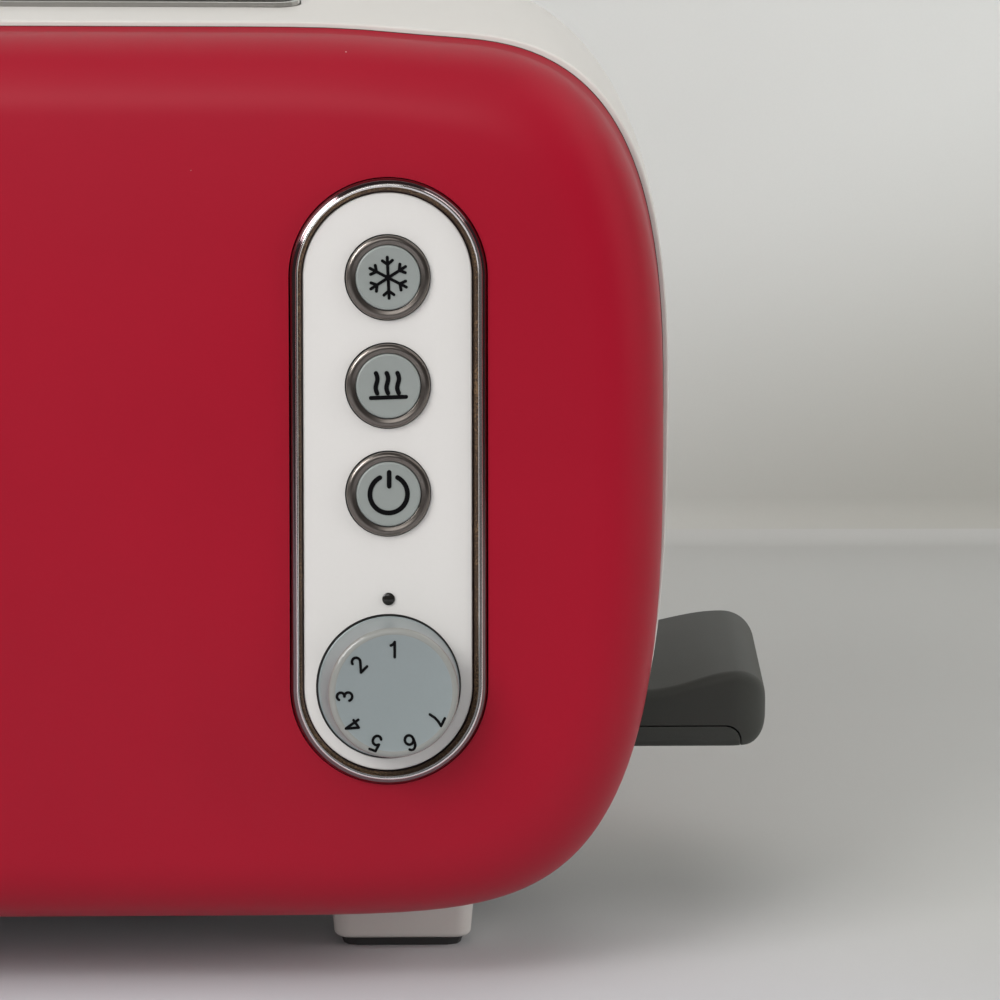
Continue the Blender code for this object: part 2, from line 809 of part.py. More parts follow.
def make_heaters():
    heater_top = end_plate_top - heater_ribbon_margin / 2
    heater_bottom = heater_top - heater_height
    for place, label in ((-heater_offset, "front"), (0.0, "middle"), (heater_offset, "back")):
        board = box(
            f"heater_{label}", (chamber_left + gap, place - heater_thickness / 2, heater_bottom),
            (chamber_right - gap, place + heater_thickness / 2, heater_top), "mica", root,
        )
        span = heater_height - 2 * heater_ribbon_margin
        levels = [heater_bottom + heater_ribbon_margin + span * (i + 0.5) / heater_turns for i in range(heater_turns)]
        ribbon = row_of_boxes(
            f"ribbon_{label}",
            (chamber_length / 2 - heater_ribbon_margin, heater_thickness / 2 + heater_ribbon_rise, heater_ribbon / 2),
            [(chamber_middle, place, level) for level in levels],
        )
        boolean(board, ribbon, "UNION")
    low = (chamber_left - sheet, end_plate_half_width + gap, end_plate_bottom)
    high = (chamber_right + sheet, low[1] + reflector_thickness, end_plate_top)
    box("reflector_back", low, high, "steel", root)
    box("reflector_front", (low[0], -high[1], low[2]), (high[0], -low[1], high[2]), "steel", root)


# Straight rods of one radius, as one mesh
def rods(name, ends, radius, finish=None, sides=wire_sides):
    mesh = bmesh.new()
    for start, end in ends:
        start, end = Vector(start), Vector(end)
        turn = (end - start).to_track_quat("Z", "Y").to_matrix().to_4x4()
        bmesh.ops.create_cone(
            mesh, cap_ends=True, segments=sides, radius1=radius, radius2=radius,
            depth=(end - start).length, matrix=Matrix.Translation((start + end) / 2) @ turn,
        )
    return smooth(add_object(name, mesh, finish, root if finish else None))


def make_guards():
    top = end_plate_top - guard_margin
    bottom = top - guard_height
    for slot_side, slot_name in ((-1, "front"), (1, "back")):
        for wall_side, wall_name in ((-1, "outer"), (1, "inner")):
            y = slot_side * (slot_spacing / 2 - wall_side * guard_offset)
            low_x, high_x = chamber_left + gap, chamber_right - gap
            across = [
                ((low_x, y, level), (high_x, y, level))
                for level in (bottom + guard_margin, top - guard_margin)
            ]
            guard = rods(f"bread_guard_{slot_name}_{wall_name}", across, guard_wire_radius, "steel")
            spread = chamber_length - 2 * guard_margin
            middles = [low_x + guard_margin + spread * i / (guard_uprights - 1) for i in range(guard_uprights)]
            upright_y = y + slot_side * wall_side * guard_wire_radius / 2
            ends = [((x, upright_y, bottom), (x, upright_y, top)) for x in middles]
            uprights = rods(f"uprights_{slot_name}_{wall_name}", ends, guard_wire_radius)
            boolean(guard, uprights, "UNION")


def make_crumb_tray():
    right = chamber_right - gap
    tray = box(
        "crumb_tray", (tray_left, -tray_half_width, tray_level),
        (right, tray_half_width, tray_level + tray_height), "steel", tray_frame,
    )
    hollow = box(
        "tray_hollow", (tray_left + tray_wall, -tray_half_width + tray_wall, tray_level + tray_wall),
        (right - tray_wall, tray_half_width - tray_wall, tray_level + tray_height + overrun),
    )
    boolean(tray, hollow)

    # The handle is the piece of the body's wall that closes the opening, with a tongue to the tray and a lip to pull
    handle = band_form("tray_handle", 0.0, "pale_housing", tray_frame)
    front = box(
        "handle_limit",
        (-shell_half_length - overrun, -handle_half_width + gap, handle_bottom + gap),
        (-base_half_length, handle_half_width - gap, handle_top - gap),
    )
    boolean(handle, front, "INTERSECT")
    boolean(handle, band_form("handle_hollow", -band_wall))
    level = handle_bottom + handle_opening_height / 2
    outer = wall_reach(level, side_growth)
    tongue = box(
        "handle_tongue",
        (-outer + band_wall / 2, -handle_tongue_half_width, level - handle_tongue_thickness / 2),
        (tray_left - gap, handle_tongue_half_width, level + handle_tongue_thickness / 2),
    )
    boolean(handle, tongue, "UNION")
    lip = rounded_box(
        "handle_lip",
        (-outer - handle_lip, -handle_lip_half_width, level - handle_lip_thickness / 2),
        (-outer + band_wall / 2, handle_lip_half_width, level + handle_lip_thickness / 2),
        handle_lip_thickness / 3, 1,
    )
    boolean(handle, lip, "UNION")


# Lever

# Cross-sections from the inner end to the outer one: the top dips at the body and curls up outward
def lever_form(name, finish, inset=0.0):
    crest = lever_outer_reach - lever_top_radius
    top = lever_underside + lever_thickness + lever_rise
    shares = [i / lever_stations for i in range(lever_stations + 1)]
    places = [lever_inner_reach + (crest - lever_inner_reach) * share for share in shares]
    places += [crest + lever_top_radius * math.sin(math.pi / 2 * share) for share in shares[1:]]

    def drop_at(x, radius):
        past = max(0.0, x - (lever_outer_reach - radius))
        return radius - math.sqrt(max(0.0, radius * radius - past * past))

    rings = []
    for x in places:
        share = min(1.0, (x - lever_inner_reach) / (crest - lever_inner_reach))
        high = top - lever_rise * (1 + math.cos(math.pi * share)) / 2 - drop_at(x, lever_top_radius)
        low = lever_underside + drop_at(x, lever_bottom_radius)
        half_width = lever_half_width - drop_at(x, lever_corner_radius)
        radius = min(lever_edge_radius, lever_edge_limit_share * (high - low))
        ring = []
        for y_side, middle, start in ((1, high, 0), (-1, high, 90), (-1, low, 180), (1, low, 270)):
            inward = -radius if middle == high else radius
            for turn in (0, 30, 60, 90):
                angle = math.radians(start + turn)
                y = y_side * (half_width - radius) + radius * math.cos(angle)
                ring.append((x, y, middle + inward + radius * math.sin(angle)))
        rings.append(ring)
    return loft(name, rings, finish, carriage_frame)


def make_lever():
    cap = lever_form("lever_cap", "dark_plastic")
    insert = lever_form("lever_insert", "dark_plastic")

    def insert_space(name, clearance):
        return rounded_box(
            name,
            (lever_inner_reach - overrun, -lever_half_width - overrun, lever_underside - overrun),
            (
                lever_inner_reach + insert_length - clearance,
                lever_half_width + overrun,
                insert_top - clearance,
            ),
            insert_corner_radius, 1,
        )

    boolean(cap, insert_space("insert_cut", 0.0))
    boolean(insert, insert_space("insert_limit", gap), "INTERSECT")
    arm_end = lever_outer_reach - arm_end_cover
    socket = box(
        "arm_socket_cut", (lever_inner_reach - overrun, -arm_half_thickness - gap, arm_bottom - gap),
        (arm_end + gap, arm_half_thickness + gap, arm_top + gap),
    )
    boolean(cap, socket)
    box(
        "lever_arm", (slider_end - arm_socket + gap, -arm_half_thickness, arm_bottom),
        (arm_end, arm_half_thickness, arm_top), "steel", carriage_frame,
    )


def make_carriage():
    carriage = box(
        "carriage", (crossbar_x, -crossbar_half_width, crossbar_bottom),
        (crossbar_x + crossbar_thickness, crossbar_half_width, crossbar_bottom + crossbar_height),
        "steel", carriage_frame,
    )
    slider = box(
        "slider_block", (crossbar_x + crossbar_thickness / 2, -slider_half_width, slider_bottom),
        (slider_end, slider_half_width, slider_top),
    )
    boolean(carriage, slider, "UNION")
    armature = box(
        "armature",
        (crossbar_x + crossbar_thickness / 2, -magnet_offset_y - armature_half_width, crossbar_bottom + sheet / 2),
        (
            crossbar_x + armature_length,
            -magnet_offset_y + armature_half_width,
            crossbar_bottom + sheet / 2 + armature_thickness,
        ),
    )
    boolean(carriage, armature, "UNION")
    bore = cylinder("rod_bore", rod_radius + gap, slider_bottom - overrun, slider_top + overrun, (rod_x, 0))
    boolean(carriage, bore)
    socket = box(
        "arm_root_cut", (slider_end - arm_socket, -arm_half_thickness - gap, arm_bottom - gap),
        (slider_end + overrun, arm_half_thickness + gap, arm_top + gap),
    )
    boolean(carriage, socket)

    left = chamber_left + rack_end_gap
    for side, label in ((-1, "front"), (1, "back")):
        middle = side * slot_spacing / 2
        rack = box(
            f"bread_rack_{label}", (left, middle - rack_rail_half_width, rack_bottom),
            (crossbar_x - gap, middle + rack_rail_half_width, rack_top), "steel", carriage_frame,
        )
        spread = chamber_length - 2 * rack_end_gap - 2 * rack_finger_width
        places = [left + rack_finger_width + spread * i / (rack_fingers - 1) for i in range(rack_fingers)]
        fingers = row_of_boxes(
            f"fingers_{label}", (rack_finger_width / 2, rack_finger_half_length, rack_finger_height / 2),
            [(x, middle, rack_top) for x in places],
        )
        boolean(rack, fingers, "UNION")


# A wire along points, as a mesh whose ends are closed
def wire(name, points, radius, finish, parent):
    curve = bpy.data.curves.new(name, "CURVE")
    curve.dimensions = "3D"
    curve.bevel_depth = radius
    curve.bevel_resolution = 1
    curve.use_fill_caps = True
    spline = curve.splines.new("POLY")
    spline.points.add(len(points) - 1)
    for point, place in zip(spline.points, points):
        point.co = (*place, 1)
    guide = bpy.data.objects.new(f"{name}_guide", curve)
    bpy.context.scene.collection.objects.link(guide)
    drawn = guide.evaluated_get(bpy.context.evaluated_depsgraph_get())
    data = bpy.data.meshes.new_from_object(drawn)
    mesh = bmesh.new()
    mesh.from_mesh(data)
    bmesh.ops.remove_doubles(mesh, verts=mesh.verts, dist=radius / 100)
    bpy.data.objects.remove(guide)
    bpy.data.meshes.remove(data)
    return smooth(add_object(name, mesh, finish, parent))


def make_lift():
    profile_top = rod_flange_level + sheet + rod_end
    cylinder("guide_rod", rod_radius, floor_level + gap, profile_top, (rod_x, 0), "steel", root, small_round_steps)
    low = slider_top + spring_wire_radius + gap
    high = rod_flange_level - spring_wire_radius - gap
    points = []
    count = spring_turns * spring_turn_points
    for i in range(count + 1):
        angle = 2 * math.pi * i / spring_turn_points
        points.append((
            rod_x + spring_radius * math.cos(angle),
            spring_radius * math.sin(angle),
            low + (high - low) * i / count,
        ))
    wire("lift_spring", points, spring_wire_radius, "steel", root)

    place = (chamber_right + sheet + magnet_offset_x, -magnet_offset_y)
    core = box(
        "magnet_core",
        (place[0] - magnet_foot_half_width, place[1] - magnet_foot_half_width, floor_level + gap),
        (place[0] + magnet_foot_half_width, place[1] + magnet_foot_half_width, floor_level + gap + magnet_foot_height),
        "steel", root,
    )
    core_top = crossbar_bottom + sheet / 2 - gap
    post = box(
        "magnet_post",
        (place[0] - magnet_post_half_width, place[1] - magnet_post_half_width, floor_level + magnet_foot_height / 2),
        (place[0] + magnet_post_half_width, place[1] + magnet_post_half_width, core_top),
    )
    boolean(core, post, "UNION")
    bore = magnet_post_half_width * math.sqrt(2) + coil_play
    bottom = floor_level + gap + magnet_foot_height + gap
    top = core_top - coil_end_gap
    profile = [
        (bore, top), (coil_flange_radius, top), (coil_flange_radius, top - coil_flange),
        (coil_winding_radius, top - coil_flange), (coil_winding_radius, bottom + coil_flange),
        (coil_flange_radius, bottom + coil_flange), (coil_flange_radius, bottom), (bore, bottom),
    ]
    turned("magnet_coil", profile, "copper", root, place, closed=True, steps=small_round_steps)


# Control panel

def make_front_shell():
    shell = make_shell("front_shell", -1)
    opening = stadium("panel_opening", bezel_radius + gap, -bezel_depth - 2 * overrun, overrun, None, panel_frame)
    boolean(shell, opening)


def make_bezel():
    inner = plate_radius + gap
    seat = -plate_thickness - gap
    bead = bezel_bead_radius
    profile = [(inner - bezel_ledge, seat), (inner, seat)]
    for middle, turns in ((inner + bead, (180, 135, 90)), (bezel_radius - bead, (90, 45, 0))):
        for turn in turns:
            angle = math.radians(turn)
            profile.append((middle + bead * math.cos(angle), bezel_rise - bead + bead * math.sin(angle)))
    profile += [
        (bezel_radius, -bezel_depth),
        (bezel_radius - bezel_ledge, -bezel_depth),
        (bezel_radius - bezel_ledge, seat - bezel_ledge_thickness),
        (inner - bezel_ledge, seat - bezel_ledge_thickness),
    ]
    loft("panel_bezel", [stadium_ring(*station) for station in profile], "chrome", panel_frame, closed=True)


def make_plate():
    rings = [
        stadium_ring(plate_radius, -plate_thickness),
        stadium_ring(plate_radius, -plate_edge),
        stadium_ring(plate_radius - plate_edge, 0.0),
    ]
    plate = loft("panel_plate", rings, "panel_white", panel_frame)
    for side, side_name in ((-1, "left"), (1, "right")):
        for share, level_name in zip(post_level_shares, ("upper", "lower")):
            post = cylinder(
                f"post_{level_name}_{side_name}", post_radius, -board_depth + gap, -plate_thickness / 2,
                (side * post_offset, share * control_span), None, panel_frame, small_round_steps,
            )
            boolean(plate, post, "UNION")
    through = -plate_thickness - overrun
    for i, level in enumerate(button_levels):
        hole = cylinder(f"button_hole_{i}", ring_sleeve_radius + gap, through, overrun, (0, level), None, panel_frame)
        boolean(plate, hole)
    hole = cylinder("dial_hole", bushing_radius + gap, through, overrun, (0, dial_level), None, panel_frame)
    boolean(plate, hole)
    place = (0, dial_level + dot_offset)
    peg = cylinder("dot_hole", dot_peg_radius + gap, through, overrun, place, None, panel_frame, small_round_steps)
    boolean(plate, peg)
    dome = [math.radians(turn) for turn in (90, 60, 30, 0)]
    profile = [(dot_radius * math.cos(a), gap + (dot_rise - gap) * math.sin(a)) for a in dome]
    profile += [(dot_peg_radius, gap), (dot_peg_radius, -plate_thickness), (0, -plate_thickness)]
    turned("index_dot", profile, "black_gloss", panel_frame, place, steps=small_round_steps)


def make_buttons():
    bore = button_radius + gap
    sleeve_end = -plate_thickness - ring_sleeve_depth
    switch_top = -board_depth + gap + switch_height + switch_plunger_height
    for name, level in zip(("defrost", "reheat", "cancel"), button_levels):
        middle = (bore + ring_radius) / 2
        ring_profile = [
            (bore, button_rise), (middle, ring_rise), (ring_radius - ring_edge, ring_rise - ring_edge / 2),
            (ring_radius, ring_rise - 2 * ring_edge), (ring_radius, gap), (ring_sleeve_radius, gap),
            (ring_sleeve_radius, sleeve_end), (bore, sleeve_end),
        ]
        turned(f"button_ring_{name}", ring_profile, "gunmetal", panel_frame, (0, level), closed=True)
        flange_top = sleeve_end - gap
        flange_bottom = flange_top - button_flange_thickness
        stem_end = switch_top + button_travel + gap
        profile = [
            (0, button_rise - button_dish), (button_radius - 2 * button_edge, button_rise),
            (button_radius, button_rise - button_edge), (button_radius, flange_top),
            (button_flange_radius, flange_top), (button_flange_radius, flange_bottom),
            (button_stem_radius, flange_bottom), (button_stem_radius, stem_end), (0, stem_end),
        ]
        frame = add_empty(f"{name}_axis", panel_frame, Matrix.Translation((0, level, 0)))
        turned(f"button_{name}", profile, "grey_plastic", frame)
        low = -board_depth + gap
        switch = box(
            f"switch_{name}", (-switch_half_width, level - switch_half_width, low),
            (switch_half_width, level + switch_half_width, low + switch_height), "dark_plastic", panel_frame,
        )
        plunger = cylinder(
            f"plunger_{name}", switch_plunger_radius, low + switch_height / 2, switch_top, (0, level),
            None, panel_frame, small_round_steps,
        )
        boolean(switch, plunger, "UNION")


def make_dial():
    place = Matrix.Translation((0, dial_level, 0))
    frame = add_empty("dial_axis", panel_frame, place)
    bottom = dial_clearance
    inside = dial_height - dial_wall
    bore = shaft_radius + gap
    shoulder = dial_top_radius - dial_shoulder
    knob = [(0, dial_height), (shoulder, dial_height)]
    for turn in (30, 60, 90):
        angle = math.radians(turn)
        rise = dial_shoulder * (1 - math.cos(angle))
        knob.append((shoulder + dial_shoulder * math.sin(angle), dial_height - rise))
    knob += [
        (dial_radius, bottom), (dial_radius - dial_wall, bottom), (dial_top_radius - dial_wall, inside),
        (dial_hub_radius, inside), (dial_hub_radius, 2 * bottom), (bore, 2 * bottom),
        (bore, 2 * bottom + dial_socket_depth), (0, 2 * bottom + dial_socket_depth),
    ]
    turned("dial_knob", knob, "grey_plastic", frame, steps=dial_steps)
    pot_bottom = -board_depth + gap
    bore_bottom = pot_bottom + shaft_bottom
    cylinder(
        "dial_shaft", shaft_radius, bore_bottom + gap, 2 * bottom + dial_socket_depth - gap,
        (0, 0), "steel", frame,
    )
    pot = [
        (0, bore_bottom), (bore, bore_bottom), (bore, 0), (bushing_radius, 0),
        (bushing_radius, pot_bottom + pot_height), (pot_radius, pot_bottom + pot_height),
        (pot_radius, pot_bottom), (0, pot_bottom),
    ]
    turned("potentiometer", pot, "dark_plastic", panel_frame, (0, dial_level), steps=small_round_steps)
    box(
        "control_board", (-board_half_width, -board_half_length, -board_depth - board_thickness),
        (board_half_width, board_half_length, -board_depth), "board_green", panel_frame,
    )


def make_back():
    shell = make_shell("back_shell", 1)
    hole = cylinder("gland_hole", gland_radius + gap, -gland_depth - overrun, overrun, (0, 0), None, gland_frame)
    boolean(shell, hole)
    flange_bottom = gap
    flange_top = flange_bottom + gland_flange_thickness
    profile = [
        (gland_bore_radius, flange_top), (gland_flange_radius - gland_flange_thickness / 2, flange_top),
        (gland_flange_radius, flange_bottom + gland_flange_thickness / 2), (gland_flange_radius, flange_bottom),
        (gland_radius, flange_bottom), (gland_radius, -gland_depth), (gland_bore_radius, -gland_depth),
    ]
    turned("cord_gland", profile, "dark_plastic", gland_frame, closed=True)


# The root's place puts the origin under the middle of the whole toaster
def centre_on_footprint():
    bpy.context.view_layer.update()
    graph = bpy.context.evaluated_depsgraph_get()
    corners = []
    for part in parts.objects:
        if part.type == "MESH":
            solid = part.evaluated_get(graph)
            corners += [solid.matrix_world @ Vector(corner) for corner in solid.bound_box]
    for axis in (0, 1):
        values = [corner[axis] for corner in corners]
        root.location[axis] -= (min(values) + max(values)) / 2


root = add_empty("toaster_root", None)
carriage_frame = add_empty("carriage_axis", root)
tray_frame = add_empty("tray_axis", root)
panel_frame = add_empty("panel_frame", root, face_frame(-1, shell_half_length - panel_side_margin, -panel_lowering))
gland_frame = add_empty("gland_frame", root, face_frame(1, shell_half_length - gland_side_margin, -gland_lowering))

make_housing()
make_liner("slot_liner_front", -1)
make_liner("slot_liner_back", 1)
make_base_plate()
make_feet()
make_end_plates()
make_heaters()
make_guards()
make_crumb_tray()
make_lever()
make_carriage()
make_lift()
make_front_shell()
make_bezel()
make_plate()
make_buttons()
make_dial()
make_back()

# Cutters follow the root, so that they stay with what they cut
for helper in cutters.objects:
    if not helper.parent:
        helper.parent = root
centre_on_footprint()
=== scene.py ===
import json
import math

import bmesh
import bpy
from mathutils import Matrix, Vector


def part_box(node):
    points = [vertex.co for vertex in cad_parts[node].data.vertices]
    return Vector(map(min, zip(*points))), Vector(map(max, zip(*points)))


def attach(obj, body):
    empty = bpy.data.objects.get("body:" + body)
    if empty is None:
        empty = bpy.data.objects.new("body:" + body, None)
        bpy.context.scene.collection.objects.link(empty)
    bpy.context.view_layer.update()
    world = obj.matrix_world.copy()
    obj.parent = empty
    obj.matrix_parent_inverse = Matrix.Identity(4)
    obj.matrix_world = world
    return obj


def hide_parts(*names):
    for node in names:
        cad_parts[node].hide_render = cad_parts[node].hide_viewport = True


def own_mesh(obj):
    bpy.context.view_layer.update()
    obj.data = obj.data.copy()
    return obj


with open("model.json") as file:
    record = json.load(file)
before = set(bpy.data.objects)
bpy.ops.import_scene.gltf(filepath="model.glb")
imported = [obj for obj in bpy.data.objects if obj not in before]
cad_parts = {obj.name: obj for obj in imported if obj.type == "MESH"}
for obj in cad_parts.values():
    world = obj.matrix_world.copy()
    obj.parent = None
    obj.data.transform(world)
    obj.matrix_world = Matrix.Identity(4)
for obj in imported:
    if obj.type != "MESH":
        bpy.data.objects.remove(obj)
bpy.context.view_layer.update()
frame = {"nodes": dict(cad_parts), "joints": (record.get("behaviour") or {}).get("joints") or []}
nodes = frame["nodes"]

# The body's outline is a rounded box whose sides and crown have exponents of their own
body = {
    "halfLength": 0.131, "rise": 0.086, "drop": 0.0975, "sideExponent": 7.8, "crownExponent": 2.73,
    "midHeight": 0.111, "centre": (-0.01275, 0.00561), "quarterPoints": 44,
    "bandHalfWidth": 0.0525, "bandStep": 0.003, "bandCrown": 0.0018, "bandEdge": 0.0005, "bandWall": 0.0025,
    "bandFlange": 0.009, "joint": 0.0528, "depth": 0.0315, "lean": 0.11, "crown": 0.004, "edge": 0.017,
    "draft": 0.0008, "shellWall": 0.0025, "shift": 0.0004, "bow": 0.0009, "bowMiddle": 0.62, "bowWidth": 0.11,
}
camera = {
    "place": (0.00721, -1.34711, 0.35202), "yaw": 0.05953, "pitch": 0.19287, "roll": 0.01032, "lens": 228.06,
}

close, hair, tiny = 1e-4, 1e-6, 1e-5        # near enough to touch, between two prints, and a pole's radius


# Every operator acts on all that is selected, so each step starts from nothing selected
def deselect():
    if bpy.context.mode != "OBJECT":
        bpy.ops.object.mode_set(mode="OBJECT")
    bpy.ops.object.select_all(action="DESELECT")


def named(name):
    piece = bpy.context.active_object
    piece.name = name
    piece.data.name = name
    return piece


# Names what an operator has just added, and makes its scale and turn part of its mesh
def added(name, scale=(1, 1, 1)):
    piece = named(name)
    piece.scale = scale
    bpy.ops.object.transform_apply(location=True, rotation=True, scale=True)
    return piece


def activate(piece):
    deselect()
    piece.select_set(True)
    bpy.context.view_layer.objects.active = piece


# In edit mode, leaves only what the test takes selected
def pick(piece, kind, test):
    bpy.ops.mesh.select_mode(type=kind)
    bpy.ops.mesh.select_all(action="DESELECT")
    mesh = bmesh.from_edit_mesh(piece.data)
    items = {"VERT": mesh.verts, "EDGE": mesh.edges, "FACE": mesh.faces}[kind]
    for item in items:
        if test(item):
            item.select_set(True)
    mesh.select_flush_mode()
    bmesh.update_edit_mesh(piece.data)


def editPiece(piece):
    activate(piece)
    bpy.ops.object.mode_set(mode="EDIT")


def finishEdit():
    bpy.ops.object.mode_set(mode="OBJECT")


def recalculate(piece):
    editPiece(piece)
    bpy.ops.mesh.select_all(action="SELECT")
    bpy.ops.mesh.normals_make_consistent(inside=False)
    finishEdit()


def smoothPiece(piece, angle=32):
    activate(piece)
    bpy.ops.object.shade_smooth_by_angle(angle=math.radians(angle))
    return piece


def modify(piece, kind, **settings):
    activate(piece)
    modifier = piece.modifiers.new(kind.lower(), kind)
    for key, value in settings.items():
        setattr(modifier, key, value)
    bpy.ops.object.modifier_apply(modifier=modifier.name)
    return piece


# Cuts with, adds or keeps what another shape covers, which is then thrown away
def carve(piece, tool, operation="DIFFERENCE"):
    modify(piece, "BOOLEAN", operation=operation, solver="EXACT", object=tool)
    bpy.data.objects.remove(tool, do_unlink=True)
    return piece


def place(piece, matrix):
    piece.data.transform(matrix)
    piece.data.update()
    return piece


def wear(piece, *materials):
    piece.data.materials.clear()
    for material in materials:
        piece.data.materials.append(material)
    return piece


def settle(piece, rides, replaced=()):
    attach(piece, rides)
    if replaced:
        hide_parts(*replaced)
    return piece


# A turned piece: one circle, extruded and resized along a profile of radius and height.
# Closed profiles come back to their start, and open ones end in poles.
# A span pulls the two halves apart into a straight-sided oval.
def turnPiece(name, profile, steps=96, closed=False, span=0.0):
    deselect()
    start = profile[0]
    radius, height = max(start[0], tiny), start[1]
    bpy.ops.mesh.primitive_circle_add(
        vertices=steps, radius=radius, fill_type="NOTHING", location=(0, 0, 0), rotation=(0, 0, math.pi / steps),
    )
    piece = added(name)
    place(piece, Matrix.Translation((0, 0, height)))
    bpy.ops.object.mode_set(mode="EDIT")
    bpy.ops.mesh.select_all(action="SELECT")
    for reach, level in profile[1:] + [start] if closed else profile[1:]:
        bpy.ops.mesh.extrude_region_move(TRANSFORM_OT_translate={"value": (0, 0, level - height)})
        ratio = max(reach, tiny) / radius
        if abs(ratio - 1) > 1e-9:
            bpy.ops.transform.resize(value=(ratio, ratio, 1), center_override=(0, 0, level))
        radius, height = max(reach, tiny), level
    bpy.ops.mesh.select_all(action="SELECT")
    bpy.ops.mesh.remove_doubles(threshold=3e-5 if not closed else 2e-6)
    bpy.ops.mesh.normals_make_consistent(inside=False)
    if span:
        pick(piece, "VERT", lambda vert: vert.co.y > 0)
        bpy.ops.transform.translate(value=(0, span / 2, 0))
        pick(piece, "VERT", lambda vert: vert.co.y < 0)
        bpy.ops.transform.translate(value=(0, -span / 2, 0))
    finishEdit()
    return piece


# Points of a quarter round from one angle to another, about a middle, as radius and height
def arc(middleR, middleH, radius, start, end, count, flat=1.0):
    points = []
    for i in range(count + 1):
        angle = math.radians(start + (end - start) * i / count)
        points.append((middleR + radius * math.cos(angle), middleH + radius * flat * math.sin(angle)))
    return points


# A block between two corners, with its edges along one axis rounded
def roundedBlock(name, low, high, radius, axis, segments=8):
    deselect()
    low, high = Vector(low), Vector(high)
    bpy.ops.mesh.primitive_cube_add(size=1, location=(low + high) / 2)
    block = added(name, high - low)
    if radius:
        bpy.ops.object.mode_set(mode="EDIT")
        pick(block, "EDGE", lambda e: abs((e.verts[0].co - e.verts[1].co).normalized()[axis]) > 0.5)
        bpy.ops.mesh.bevel(offset=radius, segments=segments, affect="EDGES")
        finishEdit()
    return block


# A skin through rings of points, capped at both ends or closed on itself
def skin(name, rings, capped=True, closed=False):
    mesh = bmesh.new()
    rows = [[mesh.verts.new(point) for point in ring] for ring in rings]
    for row, following in zip(rows, rows[1:] + rows[:1] if closed else rows[1:]):
        for i in range(len(row)):
            j = (i + 1) % len(row)
            mesh.faces.new((row[i], row[j], following[j], following[i]))
    if capped and not closed:
        mesh.faces.new(rows[0][::-1])
        mesh.faces.new(rows[-1])
    bmesh.ops.recalc_face_normals(mesh, faces=mesh.faces)
    data = bpy.data.meshes.new(name)
    mesh.to_mesh(data)
    mesh.free()
    piece = bpy.data.objects.new(name, data)
    bpy.context.scene.collection.objects.link(piece)
    activate(piece)
    return piece


# Gives a socket a plain value, or links it to another socket
def feed(tree, socket, value):
    if isinstance(value, bpy.types.NodeSocket):
        tree.links.new(value, socket)
    else:
        socket.default_value = value


# A new node. Each setting goes to the input of that name, or else to the node itself.
def add(tree, kind, **settings):
    node = tree.nodes.new(kind)
    for key, value in settings.items():
        if key in node.inputs:
            feed(tree, node.inputs[key], value)
        else:
            setattr(node, key, value)
    return node


# Reckons with plain values and sockets
def compute(tree, operation, *values, kind="Math", result=0, **settings):
    node = add(tree, f"ShaderNode{kind}", operation=operation, **settings)
    for socket, value in zip(node.inputs, values):
        feed(tree, socket, value)
    return node.outputs[result]


def noise(tree, where, scale, detail):
    return add(tree, "ShaderNodeTexNoise", Vector=where, Scale=scale, Detail=detail).outputs["Fac"]


# Mixes two colours, each a plain value or a socket
def mixColours(tree, factor, first, second):
    mix = add(tree, "ShaderNodeMix", data_type="RGBA")
    for label, value in (("Factor", factor), ("A", first), ("B", second)):
        feed(tree, mix.inputs[label], (*value, 1) if isinstance(value, tuple) else value)
    return mix.outputs["Result"]


# Spreads a value over colours, each with its place between 0 and 1
def colourRamp(tree, factor, *stops):
    ramp = add(tree, "ShaderNodeValToRGB", Fac=factor)
    elements = ramp.color_ramp.elements
    for element, (position, colour) in zip((elements[0], elements[1]), (stops[0], stops[-1])):
        element.position, element.color = position, (*colour, 1)
    for position, colour in stops[1:-1]:
        elements.new(position).color = (*colour, 1)
    return ramp.outputs["Color"]


# A node group that materials share. The kind of an input follows from its value.
def startGroup(name, inputs, outputs):
    group = bpy.data.node_groups.new(name, "ShaderNodeTree")
    for label, value in inputs.items():
        kind = "Float" if isinstance(value, float) else {3: "Vector", 4: "Color"}[len(value)]
        socket = group.interface.new_socket(label, in_out="INPUT", socket_type=f"NodeSocket{kind}")
        socket.default_value = value
    for label, kind in outputs.items():
        group.interface.new_socket(label, in_out="OUTPUT", socket_type=f"NodeSocket{kind}")
    return group, group.nodes.new("NodeGroupInput").outputs, group.nodes.new("NodeGroupOutput").inputs


# Fine moulded grain: a height for bump and a small change of roughness
def makeGrain():
    group, given, made = startGroup(
        "mouldGrain", {"Place": (0.0, 0.0, 0.0), "Scale": 2600.0, "Roughness": 0.4, "Vary": 0.06},
        {"Height": "Float", "Roughness": "Float"},
    )
    fine, coarse = noise(group, given["Place"], given["Scale"], 3.0), noise(group, given["Place"], 26.0, 4.0)
    swell = compute(group, "MULTIPLY", coarse, 0.35)
    feed(group, made["Height"], compute(group, "ADD", fine, swell))
    swing = compute(group, "MULTIPLY", compute(group, "SUBTRACT", coarse, 0.5), given["Vary"])
    feed(group, made["Roughness"], compute(group, "ADD", given["Roughness"], swing))
    return group


